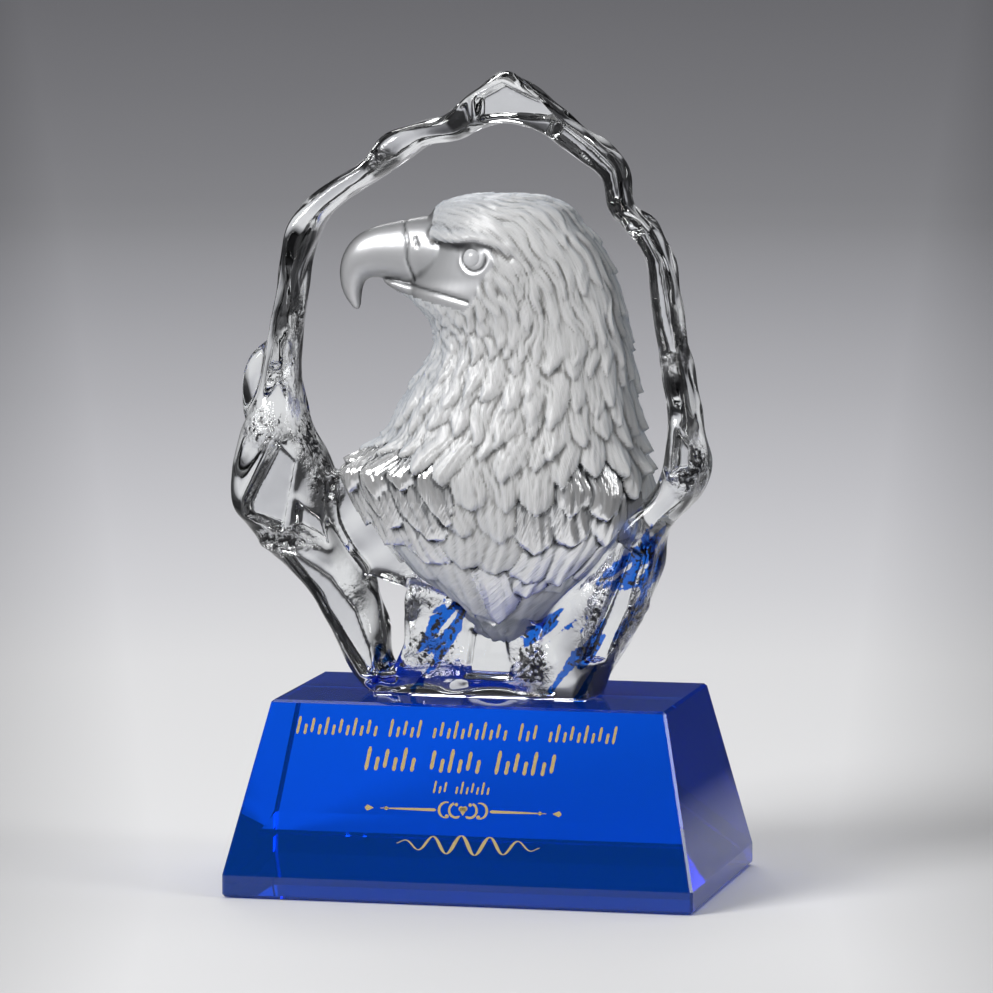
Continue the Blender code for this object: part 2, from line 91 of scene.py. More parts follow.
def ring_between(outer, inner, half_depth, sides, squareness):
    """An oval that spans two points of the picture plane and bulges in depth."""
    outer = np.array(outer, float)
    inner = np.array(inner, float)
    angles = np.arange(sides) * 2 * math.pi / sides
    across = np.sign(np.cos(angles)) * np.abs(np.cos(angles)) ** squareness
    along = np.sign(np.sin(angles)) * np.abs(np.sin(angles)) ** squareness
    middle = (outer + inner) / 2
    reach = (outer - inner) / 2
    return [(middle[0] + reach[0] * a, half_depth * b, middle[1] + reach[1] * a)
            for a, b in zip(across, along)]


def mesh_from(build, name, outward=False):
    """Turn drawn geometry into a mesh, with its faces turned outward where that is asked."""
    if outward:
        bmesh.ops.recalc_face_normals(build, faces=build.faces)
    mesh = bpy.data.meshes.new(name)
    build.to_mesh(mesh)
    build.free()
    return mesh


def in_scene(name, data):
    """Put a mesh, a curve, a light or a camera in the scene."""
    made = bpy.data.objects.new(name, data)
    bpy.context.scene.collection.objects.link(made)
    return made


def baked(holder):
    """The mesh of an object with its modifiers done; the object itself goes."""
    bpy.context.view_layer.update()
    found = holder.evaluated_get(bpy.context.evaluated_depsgraph_get())
    mesh = bpy.data.meshes.new_from_object(found)
    mesh.transform(holder.matrix_world)
    bpy.data.objects.remove(holder, do_unlink=True)
    return mesh


def loft(name, rings):
    """Skin a row of rings of equal length and close both ends."""
    build = bmesh.new()
    loops = [[build.verts.new(point) for point in ring] for ring in rings]
    count = len(loops[0])
    for lower, upper in zip(loops, loops[1:]):
        for k in range(count):
            build.faces.new((lower[k], lower[(k + 1) % count], upper[(k + 1) % count], upper[k]))
    build.faces.new(loops[0])
    build.faces.new(loops[-1])
    return mesh_from(build, name, outward=True)


def banded(name, stations, steps, sides, squareness=1.0):
    """A band whose stations give its two edges and its half depth."""
    rings = [ring_between(row[0:2], row[2:4], row[4], sides, squareness)
             for row in smooth_stations(stations, steps)]
    return loft(name, rings)


def bead_string(name, beads, side=1):
    """A run of overlapping balls, each given by x, depth, height and radius, on one side of the middle."""
    build = bmesh.new()
    for x, depth, height, radius in smooth_stations(beads, BALLS_PER_BEAD * len(beads)):
        ball = bmesh.ops.create_uvsphere(build, u_segments=24, v_segments=16, radius=radius)
        bmesh.ops.translate(build, verts=ball["verts"], vec=(x, side * depth, height))
    return mesh_from(build, name)


def panel(name, outline, half_depth, rounding):
    """A flat outline with rounded rims, made from a filled curve."""
    curve = bpy.data.curves.new(name, "CURVE")
    curve.dimensions = "2D"
    curve.fill_mode = "BOTH"
    curve.extrude = half_depth - rounding
    curve.bevel_depth = rounding
    curve.bevel_resolution = 2
    spline = curve.splines.new("POLY")
    spline.points.add(len(outline) - 1)
    for point, (x, height) in zip(spline.points, outline):
        point.co = (x, height, 0, 1)
    spline.use_cyclic_u = True
    holder = in_scene(name, curve)
    holder.rotation_euler = (math.pi / 2, 0, 0)
    return baked(holder)


def joined(meshes):
    """Put several meshes in one, still as separate shells."""
    total = bmesh.new()
    for mesh in meshes:
        total.from_mesh(mesh)
        bpy.data.meshes.remove(mesh)
    return mesh_from(total, "joined")


def fused(mesh, voxel, smoothing):
    """Melt overlapping shells into one skin with voxels, then relax it."""
    holder = in_scene("fusing", mesh)
    melt = holder.modifiers.new("melt", "REMESH")
    melt.mode = "VOXEL"
    melt.voxel_size = voxel
    relax = holder.modifiers.new("relax", "SMOOTH")
    relax.factor = 0.5
    relax.iterations = smoothing
    return baked(holder)


def read_points(mesh):
    """The mesh's points and their normals as arrays."""
    count = len(mesh.vertices)
    points = np.empty(count * 3)
    mesh.vertices.foreach_get("co", points)
    normals = np.empty(count * 3)
    mesh.vertices.foreach_get("normal", normals)
    return points.reshape(-1, 3), normals.reshape(-1, 3)


def write_points(mesh, points):
    """Move the mesh's points."""
    mesh.vertices.foreach_set("co", points.ravel())
    mesh.update()


def cloud_noise(points, size):
    """Smooth noise from -1 to 1 at every point, with lumps of the given size."""
    return np.array([noise.noise(Vector(point) / size) for point in points])


def path_distance(points, path):
    """Distance in the side view from each point to a broken line."""
    flat = points[:, [0, 2]]
    nearest = np.full(len(flat), 1e9)
    for start, end in zip(path, path[1:]):
        start = np.array(start, float)
        run = np.array(end, float) - start
        share = np.clip((flat - start) @ run / (run @ run), 0, 1)
        nearest = np.minimum(nearest, np.linalg.norm(flat - start - share[:, None] * run, axis=1))
    return nearest


def inside_distance(points, outline):
    """How far inside a closed outline each point lies in the side view, negative outside it."""
    x, _, height = points.T
    loop = outline + outline[:1]
    crossings = np.zeros(len(points), int)
    for (x1, h1), (x2, h2) in zip(loop, loop[1:]):
        spans = (h1 > height) != (h2 > height)
        crossings += spans & (x < (x2 - x1) * (height - h1) / ((h2 - h1) or 1.0) + x1)
    return path_distance(points, loop) * np.where(crossings % 2 == 1, 1, -1)


def groove(points, path, width):
    """From 1 in the middle of a groove to 0 beside it."""
    return np.exp(-(path_distance(points, path) / width) ** 2)


def keep_values(mesh, **values):
    """Keep one number per point on the mesh, for the finishes."""
    for name, numbers in values.items():
        stored = mesh.attributes.new(name, "FLOAT", "POINT")
        stored.data.foreach_set("value", numbers.astype(np.float32))


print("form tools ready")

# %% [markdown]
# ## The rim
# The rim was poured and then broken, so it swells and thins all the way round. Each station gives the outer
# edge, the inner edge and the half depth there. The knob is a blob on the left, the elbow below it is the
# thickest part, and the flat breaks are pressed in last, because the polish on them catches the light.

# %% The rim's stations
RIM = [
    (-38, 0, -28, 0, 12.0),
    (-43, 5, -33, 8, 12.0),
    (-50, 17, -34, 20, 12.5),
    (-57, 30, -39, 35, 13.0),
    (-71, 44, -46, 45, 14.5),
    (-82, 57, -51, 57, 16.5),
    (-83, 69, -52, 69, 16.5),
    (-80, 81, -58, 81, 15.0),
    (-75, 93, -62, 92, 13.0),
    (-72, 107, -63, 107, 11.5),
    (-69, 122, -61, 121, 11.0),
    (-67, 135, -60, 132, 11.0),
    (-65, 147, -57, 141, 11.0),
    (-60, 154, -53, 149, 10.5),
    (-48, 163, -44, 157, 10.5),
    (-40, 168, -34, 163, 11.5),
    (-33, 176, -27, 168, 12.5),
    (-23, 180, -20, 173, 11.5),
    (-13, 183, -9, 175, 12.0),
    (-4, 191, -3, 178, 13.5),
    (5, 196, 5, 180, 14.0),
    (15, 190, 12, 179, 12.5),
    (25, 182, 21, 175, 11.0),
    (36, 174, 30, 169, 10.5),
    (43, 167, 37, 163, 10.5),
    (45, 155, 39, 154, 10.0),
    (52, 149, 45, 147, 11.0),
    (58, 138, 51, 138, 11.0),
    (61, 121, 53, 120, 10.5),
    (64, 104, 56, 103, 11.0),
    (67, 88, 58, 92, 12.0),
    (70, 74, 57, 78, 14.0),
    (67, 64, 54, 66, 14.5),
    (57, 52, 44, 56, 15.0),
    (54, 39, 34, 42, 16.0),
    (50, 27, 22, 29, 16.5),
    (40, 9, 14, 14, 15.0),
    (36, 0, 12, 0, 14.0),
]
KNOB = [(-74, 0, 82, 3.0), (-76, 0, 88, 4.6), (-76.5, 0, 95, 5.0), (-75, 0, 102, 4.2), (-71, 0, 108, 3.0)]
WEB = [(-55, 68), (-44, 66), (-30, 52), (-14, 36), (2, 22), (-6, 20), (-22, 33), (-32, 36), (-40, 38),
       (-46, 48)]
WEB_HALF_DEPTH = 7.0
UNDER_BLOCK = [(-23, 33), (-4, 27), (16, 22), (18, 0), (-30, 0), (-28, 7), (-24, 15), (-23.5, 24)]
UNDER_BLOCK_HALF_DEPTH = 12.0
FOOT_OUTLINE = [(-33.5, -2), (33.5, -2), (33.5, 5.5), (-33.5, 5.5)]
FOOT_HALF_DEPTH = 13.0
WINDOWS = [
    ([(-66.5, 79.5), (-60, 73), (-64, 51.4), (-76.4, 55.4), (-76.4, 60)], 11.0, 0.0, 0.0),
    ([(-59.5, 60.5), (-52.5, 55), (-50, 46.5), (-60.5, 52.2)], 10.2, -0.12, 0.0),
    ([(-65, 44.6), (-60.5, 43.6), (-49, 36), (-41, 26), (-36.8, 14.4), (-35.4, 6), (-39, 6), (-47.4, 18.4),
      (-56.4, 32.4)], 9.0, 0.0, 0.03),
    ([(-2, 188.6), (6.5, 193.2), (18.5, 187.6), (24.5, 182.2), (15, 182), (5.5, 182.4), (-1.5, 181.6)],
     9.0, 0.0, -0.2),
    ([(24.4, 180.6), (35, 172.8), (41.6, 166.4), (43.6, 157), (40.4, 156.2), (38.2, 163.6), (31.4, 170),
      (22.2, 176.8)], 8.0, 0.0, -0.1),
    ([(51.2, 148), (56.6, 138), (59.4, 121.6), (61.8, 109), (58, 109), (54.8, 121), (52.6, 137.6),
      (47.4, 146.4)], 8.2, 0.0, -0.07),
    ([(62.3, 86), (66.4, 80), (66.5, 73), (61, 72)], 9.4, -0.1, 0.0),
    ([(47, 49), (52, 46), (47, 28), (40, 12), (33, 12), (40, 30)], 11.4, -0.12, 0.0),
    ([(-3.5, 20.5), (7.5, 20.5), (9.5, 6), (-5.5, 6)], 11.0, 0.0, -0.04),
]
WINDOW_EDGE = 0.9
BACK_SPREAD = 5.0
BACK_EDGE = 3.0
BORDER_WIDTH = 1.1
BORDER_LIFT = 0.45
PITTED = [
    (-51, 70, 6, 15, 0.9), (-66, 47.5, 15, 5, 0.9), (-70, 84, 9, 9, 0.7), (-55, 84, 8, 17, 1.0),
    (-60, 106, 4.5, 26, 1.0), (-44, 24, 7, 20, 0.6), (-20, 32.5, 17, 10, 0.6),
    (-16, 14, 12, 11, 0.8), (16, 10, 9, 11, 1.0), (44, 25, 15, 25, 0.8), (66, 74, 7, 12, 1.0),
    (-34, 169, 6, 6, 0.5), (60, 112, 5, 14, 0.5),
]
# Runs of painted blue in the lower glass, a painted refraction of the block below: start, end and width.
PAINTED_BLUE_STREAKS = [
    ((57, 50), (27, 1), 8.0), ((52, 46), (16, 18), 5.5),
    ((-8, 27), (-24, 6), 8.0), ((-33, 13), (-35, 5), 3.0),
]
FRONT_FADE = 3.0
RIM_VOXEL = 0.75
RIM_SQUARENESS = 0.62
SWELL = 0.5
RIPPLE = 0.3
COARSE_PITS = (5.5, 0.75)
FINE_PITS = (2.6, 0.4)
SKIN_FROM = 0.45
ZONE_STEEPNESS = 1.8
STREAK_STEEPNESS = 1.6
STREAK_GRAIN = (17, 3.0, 12)
STREAK_GAIN = 4.0
STREAK_START = 0.35
print(len(RIM), "stations round the rim,", len(WINDOWS), "flat windows on each side")


# %% Swell, press and trim the rim
def zone_share(points, zones):
    """The strongest share that any oval zone of the side view gives a point."""
    share = np.zeros(len(points))
    for x, height, half_width, half_height, strength in zones:
        away = np.hypot((points[:, 0] - x) / half_width, (points[:, 2] - height) / half_height)
        share = np.maximum(share, strength * np.clip(ZONE_STEEPNESS * (1 - away), 0, 1))
    return share


def window_share(points):
    """1 inside a window, 0 outside, with a narrow change between."""
    inside = np.max([inside_distance(points, window[0]) for window in WINDOWS], axis=0)
    return np.clip(inside / WINDOW_EDGE, 0, 1)


def front_share(points):
    """1 on the front half, fading to 0 a little behind the middle."""
    return np.clip(1 - points[:, 1] / FRONT_FADE, 0, 1)


def broken_share(points):
    """Where the front is pitted; the back is plain and polished."""
    return zone_share(points, PITTED) * (1 - window_share(points)) * front_share(points)


def lumpy(mesh):
    """Swell the rim in slow waves, as poured glass does, with pits where it broke."""
    points, normals = read_points(mesh)
    x, y, height = points.T
    wave = np.sin(0.21 * x + 0.33 * y + 1.0) * np.sin(0.17 * height + 0.6)
    ripple = np.sin(0.34 * height - 0.29 * x) * np.cos(0.31 * y + 0.8)
    pits = broken_share(points)
    pitted = pits > 0
    runs = np.zeros(len(points))
    for size, amount in (COARSE_PITS, FINE_PITS):
        runs[pitted] += cloud_noise(points[pitted], size) * amount
    write_points(mesh, points + normals * (SWELL * wave + RIPPLE * ripple + runs * pits)[:, None])


def windowed(mesh):
    """Press flat windows into the front, with low borders, and wider flats behind them into the back."""
    points, _ = read_points(mesh)
    behind = points[:, 1] > 0
    edge = np.where(behind, BACK_EDGE, WINDOW_EDGE)
    for outline, depth, slope_across, slope_up in WINDOWS:
        centre = np.mean(outline, axis=0)
        inside = inside_distance(points, outline) + BACK_SPREAD * behind
        share = np.clip(inside / edge, 0, 1)
        plane = depth + slope_across * (points[:, 0] - centre[0]) + slope_up * (points[:, 2] - centre[1])
        plane = np.minimum(plane, np.abs(points[:, 1]))
        side = np.sign(points[:, 1])
        on_skin = np.abs(points[:, 1]) > SKIN_FROM * depth
        border = BORDER_LIFT * np.exp(-((inside + BORDER_WIDTH) / BORDER_WIDTH) ** 2) * ~behind
        pressed = (1 - share) * points[:, 1] + share * side * plane + side * border
        points[:, 1] = np.where(on_skin, pressed, points[:, 1])
    write_points(mesh, points)


def streak_share(points):
    """Where the block's blue is painted into the lower glass, a painted refraction of the block, in streaks
    that run with the break.
    """
    share = np.zeros(len(points))
    for start, end, width in PAINTED_BLUE_STREAKS:
        run = np.array(end, float) - np.array(start, float)
        run = run / np.linalg.norm(run)
        flat = points[:, [0, 2]] - np.array(start)
        along = flat @ run
        across = flat @ np.array([-run[1], run[0]])
        near = np.clip(STREAK_STEEPNESS * (1 - path_distance(points, [start, end]) / width), 0, 1)
        close = np.nonzero(near)[0]
        places = np.stack([along, across, points[:, 1]], axis=1)[close] / STREAK_GRAIN
        grain = np.array([noise.noise(Vector(place)) for place in places])
        here = near[close] * np.clip(STREAK_GAIN * grain + STREAK_START, 0, 1)
        share[close] = np.maximum(share[close], here)
    return share


def trimmed(mesh):
    """Cut the casting flat at its foot and close the cut."""
    build = bmesh.new()
    build.from_mesh(mesh)
    everything = build.verts[:] + build.edges[:] + build.faces[:]
    bmesh.ops.bisect_plane(build, geom=everything, plane_co=(0, 0, 0), plane_no=(0, 0, 1), clear_inner=True)
    rim_edges = [edge for edge in build.edges if edge.is_boundary]
    bmesh.ops.holes_fill(build, edges=rim_edges, sides=0)
    bmesh.ops.recalc_face_normals(build, faces=build.faces)
    build.to_mesh(mesh)
    build.free()
    return mesh


def placed(name, mesh):
    """Bring a form from the grid to its real size and place."""
    mesh.transform(Matrix.Translation((0, 0, FOOT_LEVEL)) @ Matrix.Scale(UNIT, 4))
    mesh.shade_smooth()
    return in_scene(name, mesh)


rim_pieces = [
    banded("rim", RIM, steps=220, sides=32, squareness=RIM_SQUARENESS),
    bead_string("knob", KNOB),
    panel("web", WEB, WEB_HALF_DEPTH, rounding=1.5),
    panel("under block", UNDER_BLOCK, UNDER_BLOCK_HALF_DEPTH, rounding=2.0),
    panel("foot", FOOT_OUTLINE, FOOT_HALF_DEPTH, rounding=1.0),
]
rim_mesh = fused(joined(rim_pieces), RIM_VOXEL, smoothing=14)
lumpy(rim_mesh)
windowed(rim_mesh)
rim_mesh = trimmed(rim_mesh)
rim_points, _ = read_points(rim_mesh)
# The block's blue is painted into the lower front glass as a painted refraction, kept beside the pits.
front_streaks = streak_share(rim_points) * front_share(rim_points)
keep_values(rim_mesh, pits=broken_share(rim_points), streak=front_streaks)
rim = placed("clear_rim", rim_mesh)
print("rim:", len(rim.data.polygons), "faces")

# %% [markdown]
# ## The bust
# Rows from the crown to the breast give the bust's left edge, right edge and half depth. The head narrows
# towards the face. The beak is two lofts, the brow is a string of beads, and all of it is melted together.

# %% The bust's stations
BUST = [
    (157.6, -6, 11, 5.0),
    (156.6, -11, 18, 9.5),
    (154, -17, 25, 13.5),
    (149, -20, 29, 16.5),
    (142, -21, 35, 18.5),
    (132, -25, 40, 19.5),
    (125, -26, 42, 19.5),
    (117, -19, 44, 19.5),
    (109, -18, 45, 20.0),
    (101, -23, 46, 21.5),
    (92, -29, 47, 23.5),
    (82, -33, 48, 25.5),
    (76, -41, 50, 26.5),
    (70, -49, 52, 27.0),
    (62, -45, 52, 26.5),
    (50, -36, 47, 24.5),
    (40, -26, 36, 21.5),
    (31, -15, 26, 17.0),
    (23, -6, 16, 12.0),
    (18, 0, 8, 7.5),
]
UPPER_BEAK = [
    (-13, 151.0, -8, 127.0, 11.0),
    (-20, 150.5, -15, 126.5, 10.2),
    (-26, 149.5, -22, 128.0, 8.6),
    (-32, 148.2, -29, 129.5, 7.4),
    (-38, 146.6, -34.5, 130.5, 6.4),
    (-43.5, 143.6, -38.5, 130.5, 5.5),
    (-47, 139.5, -40.5, 129.5, 4.6),
    (-48.8, 134.5, -41.5, 127.5, 3.8),
    (-48.8, 129.0, -42.0, 124.5, 3.0),
    (-47.3, 124.5, -42.2, 121.8, 2.1),
    (-44.6, 120.6, -42.6, 120.0, 0.9),
]
LOWER_BEAK = [
    (-10, 130.0, -12, 119.0, 9.3),
    (-18, 130.6, -19, 121.2, 7.7),
    (-25, 131.0, -26, 124.2, 6.0),
    (-31, 131.2, -31.5, 127.2, 4.2),
    (-34.5, 130.6, -34.5, 129.2, 1.8),
]
BROW = [(-16.5, 8.4, 145.6, 1.9), (-10, 11.7, 144.2, 2.9), (-1, 14.7, 144.0, 3.4), (10, 16.2, 141.5, 3.0)]
EYE_PLACE = (-1.6, 138.3)
EYE_RADIUS = 4.0
EYE_DEPTH = 14.3
BREAST_SQUARENESS = 0.78
FACE_NARROWING = 0.34
NARROW_FROM = 119
NARROW_OVER = 12
BUST_STEPS = 110
BUST_SIDES = 72
BUST_VOXEL = 0.67
print("the trunk has", len(BUST), "rows and the beak", len(UPPER_BEAK) + len(LOWER_BEAK))


# %% Melt the head, neck and breast together
def trunk_rings():
    """The rings of the head, neck and breast, narrower towards the face."""
    rings = []
    for height, left, right, half_depth in smooth_stations(BUST, BUST_STEPS):
        squareness = np.interp(height, [95, 72, 30], [1.0, BREAST_SQUARENESS, 0.9])
        ring = ring_between((right, height), (left, height), half_depth, BUST_SIDES, squareness)
        narrowing = FACE_NARROWING * np.clip((height - NARROW_FROM) / NARROW_OVER, 0, 1)
        middle = (left + right) / 2
        shaped = []
        for x, y, z in ring:
            forward = max(0.0, (middle - x) / (middle - left))
            shaped.append((x, y * (1 - narrowing * forward ** 1.5), z))
        rings.append(shaped)
    return rings


bust_pieces = [
    loft("trunk", trunk_rings()),
    banded("upper beak", UPPER_BEAK, steps=60, sides=32),
    banded("lower beak", LOWER_BEAK, steps=30, sides=28),
    bead_string("brow", BROW, side=-1),
    bead_string("brow", BROW, side=1),
]
bust_mesh = fused(joined(bust_pieces), BUST_VOXEL, smoothing=7)
print("bust before carving:", len(bust_mesh.polygons), "faces")

# %% [markdown]
# ## Plumage
# Feathers overlap like tiles, from the face backwards and down. On the head the rows turn about a hub at the
# throat, and below it they follow the length of the surface, so one number says how far down the plumage a
# point lies. The angle round the neck is the other. Feathers sit in staggered rows on those two, short and
# narrow on the head, longer on the neck, broad on the breast, and the highest feather at each point wins.

# %% Where a point lies in the plumage
HUB = (-25.0, 112.0)
MEAN_REACH = 42.0
FIRST_ROW = 4.6
LAST_ROW = 15.0
ROWS_END = 190.0
FEATHER_LIFT = 3.0
bust_rows = np.array(BUST)[::-1]


def side_lengths(edge):
    """The length along one side of the bust, from its lowest station up to each of the others."""
    steps = np.hypot(np.diff(bust_rows[:, 0]), np.diff(edge))
    return np.concatenate(([0.0], np.cumsum(steps)))


def plumage_place(points):
    """How far down the plumage each point lies, its angle round the neck, and the mean radius there."""
    x, y, height = points.T
    over = x - HUB[0]
    above = height - HUB[1]
    on_head = above > 0
    turn = np.where(on_head, np.clip(np.arctan2(over, above), 0, math.pi / 2), math.pi / 2)
    level = np.where(on_head, HUB[1], height)
    left, right, half_depth = (np.interp(level, bust_rows[:, 0], bust_rows[:, k]) for k in (1, 2, 3))
    middle = (left + right) / 2 - HUB[0]
    half_width = (right - left) / 2
    sideways = np.where(on_head, np.hypot(over, above), over) - middle
    angle = np.arctan2(y / half_depth, sideways / half_width)
    run = np.zeros(len(points))
    shares = (np.clip(-np.cos(angle), 0, 1) ** 2, np.clip(np.cos(angle), 0, 1) ** 2, np.sin(angle) ** 2)
    for share, column in zip(shares, (1, 2, 3)):
        lengths = side_lengths(bust_rows[:, column])
        passed = np.interp(HUB[1], bust_rows[:, 0], lengths) - np.interp(level, bust_rows[:, 0], lengths)
        run = run + share * passed
    down = turn * MEAN_REACH + run
    flatness = (half_width ** 2 - half_depth ** 2) / (half_width ** 2 + half_depth ** 2)
    return down, angle - flatness / 4 * np.sin(2 * angle), (half_width + half_depth) / 2


def scatter(row, feather, seed):
    """A fixed number from 0 to 1 for each feather."""
    value = np.sin(row * 78.233 + feather * 37.719 + seed * 11.317) * 43758.5453
    return value - np.floor(value)


POLISHED = [(-33, 60, 27, 20, 1.0), (34, 52, 23, 16, 1.0), (12, 33, 11, 8, 0.8)]
POLISHED_FROM = 0.22
ROW_RADIUS = ([0, 66, 88, 112, 135, 155, 180], [26, 26, 30, 38, 36, 24, 10])
SLIMNESS = ([0, 50, 90, 115, 150, 165], [0.62, 0.66, 0.86, 1.34, 1.34, 1.0])
TIP_ROUNDNESS = ([60, 105, 140], [1.5, 2.1, 3.0])
ROWS_THAT_REACH = 4
SIDE_SHIFT = 0.36
ROW_SHIFT = 0.7
LENGTH_IN_ROWS = 2.0
LENGTH_SPREAD = 0.7
TIP_BEND = 0.35
HALF_WIDTH = 0.60
WIDTH_SPREAD = 0.12
CUP = 0.55
ROOT_HEIGHT = 0.12
TIP_RISE = 0.88


def carve_plumage(down, angle, radius, points):
    """The relief at each point, its place on the feather that lies on top, and whether that is polished."""
    growth = (LAST_ROW - FIRST_ROW) / ROWS_END
    rank = np.log1p(growth * np.maximum(down, 0) / FIRST_ROW) / growth
    relief = np.zeros(len(points))
    vane_across = np.zeros(len(points))
    vane_along = np.zeros(len(points))
    vane_seed = np.zeros(len(points))
    vane_number = np.zeros(len(points))
    for back in range(ROWS_THAT_REACH):
        row = np.floor(rank) + 1 - back
        row_start = (np.exp(growth * row) - 1) * FIRST_ROW / growth
        row_gap = FIRST_ROW + growth * row_start
        row_radius = np.interp(row_start + row_gap, *ROW_RADIUS)
        slimness = np.interp(row_start, *SLIMNESS)
        around = np.maximum(np.round(2 * math.pi * row_radius / (slimness * row_gap)), 6)
        stagger = 0.5 * (row % 2) + 0.31 * np.sin(row * 12.9898)
        column = np.round(angle / (2 * math.pi) * around - stagger)
        for step in (-1, 0, 1):
            feather = (column + step) % around
            first = scatter(row, feather, 0)
            second = scatter(row, feather, 1)
            third = scatter(row, feather, 2)
            centre = (column + step + stagger + SIDE_SHIFT * (first - 0.5)) / around * 2 * math.pi
            length = row_gap * (LENGTH_IN_ROWS + LENGTH_SPREAD * second)
            along = (down - row_start - ROW_SHIFT * row_gap * (third - 0.5)) / length
            offset = (angle - centre) * radius
            offset = offset + (first - 0.5) * TIP_BEND * row_gap * np.clip(along, 0, 1) ** 2
            across = offset / (row_gap * slimness * (HALF_WIDTH + WIDTH_SPREAD * second))
            roundness = np.interp(down, *TIP_ROUNDNESS)
            edge = np.clip(1 - np.clip(2 * along - 1, 0, 1) ** roundness, 0, 1) ** 0.75
            inside = (along > 0) & (along < 1) & (np.abs(across) < edge)
            cupped = 1 - CUP * (across / np.maximum(edge, 0.05)) ** 2
            here = (ROOT_HEIGHT + TIP_RISE * along) * cupped * (0.8 + 0.4 * third)
            top = inside & (here > relief)
            relief = np.where(top, here, relief)
            vane_across = np.where(top, across, vane_across)
            vane_along = np.where(top, along, vane_along)
            vane_seed = np.where(top, second, vane_seed)
            vane_number = np.where(top, row * 1000 + feather, vane_number)
    _, owner, size = np.unique(vane_number, return_inverse=True, return_counts=True)
    patch = np.bincount(owner, zone_share(points, POLISHED)) / size
    polish = (patch[owner] > POLISHED_FROM) & (vane_number > 0)
    return relief, vane_across, vane_along, vane_seed, polish.astype(float)


print("the plumage's rows widen from", FIRST_ROW, "to", LAST_ROW, "units")

# %% [markdown]
# ## The face
# The beak, the bare skin behind it and the eye are smooth, so the plumage stops at a line from the forehead,
# under the eye and back to the corner of the mouth. Grooves are carved along short paths, each with its depth
# and its width: the mouth, the edge of the skin at the beak's root, and the nostril. These grooves, the eye
# socket, the hollows between feathers and a place under the brow are also painted darker, as painted shade.

# %% The smooth face and its grooves
FACE_OUTLINE = [
    (-18.5, 165), (-18.3, 151.5), (-18.2, 142), (-10, 141.8), (-3, 143.4), (3.6, 141), (4.2, 136),
    (0.5, 132.6), (-1.0, 128.5), (-2.4, 124.6), (-4.6, 122.6), (-14.5, 124.4), (-24.6, 126.2),
    (-30, 127.4), (-36, 122), (-60, 110), (-60, 165),
]
MOUTH = [(-34, 130.4), (-29, 130.0), (-24.6, 129.1), (-14.5, 127.4), (-8, 126.0), (-3.6, 125.0)]
CERE_LINE = [(-27.5, 149), (-25.2, 143), (-25.4, 137), (-23.5, 130.4)]
NOSTRIL = [(-22.8, 144.2), (-21.6, 141.4)]
BROW_CREASE = [(-16, 143.0), (-8, 142.0), (-2, 143.2), (4, 141.8), (10, 138.6)]
FACE_GROOVES = [(MOUTH, 0.5, 0.6), (CERE_LINE, 0.45, 0.5), (NOSTRIL, 0.6, 0.45)]
FACE_EDGE = 1.5
LIP_LIFT = 0.1
LIP_DROP = 1.9
BROW_CUT = 0.8
LID_LIFT = 0.22
SOCKET_CUT = 0.5
# Where the painted shadow under the brow lies, and how far it reaches.
BROW_SHADOW_PLACE = (-3.5, 141.6)
BROW_SHADOW_REACH = (7.5, 1.8)
FEATHER_STRENGTH = ([8, 40, 80, 110], [0.15, 0.34, 0.6, 0.95])
RELIEF_MIDDLE = 0.6
POLISH_EXTRA = 0.35
NAPE_RAGGED = ([15, 35, 110, 125], [0, 1, 1, 0])
NAPE_EXTRA = 1.2
NAPE_ANGLE = 0.5
SHAFT_STRENGTH = ([60, 110], [0.0, 0.25])
SHAFT_WIDTH = 0.09
BARB_STRENGTH = ([40, 110], [0.06, 0.2])
BARB_COUNT = 17
HAIR_STRENGTH = ([0, 50, 100, 130], [0.4, 0.55, 0.36, 0.12])
SWAY = ([10, 60, 100, 130], [1.5, 4.0, 3.5, 2.2])
BEND = ([60, 110], [0.11, 0.05])
# The painted shade's level on open surfaces; hollows, grooves and the socket lower it.
EVEN_SHADE = 0.68
HOLLOW_ROUNDS = 9
HAIR_LENGTH = 9.0
HAIR_WIDTH = 1.3


def hollows(mesh):
    """How far each point lies below its smoothed surroundings."""
    points, normals = read_points(mesh)
    pairs = np.empty(len(mesh.edges) * 2, np.int32)
    mesh.edges.foreach_get("vertices", pairs)
    first, second = pairs.reshape(-1, 2).T
    count = len(points)
    neighbours = np.bincount(pairs, minlength=count)
    smooth = points.copy()
    for _ in range(HOLLOW_ROUNDS):
        total = [np.bincount(first, smooth[second, k], count) + np.bincount(second, smooth[first, k], count)
                 for k in range(3)]
        smooth = np.array(total).T / neighbours[:, None]
    return ((smooth - points) * normals).sum(axis=1)


def combed(down, angle, radius):
    """Hair-fine streaks that follow the plumage, for the head and neck."""
    around = np.abs(angle) * radius / HAIR_WIDTH
    return np.array([noise.noise(Vector((a, d / HAIR_LENGTH, 3.0))) for a, d in zip(around, down)])


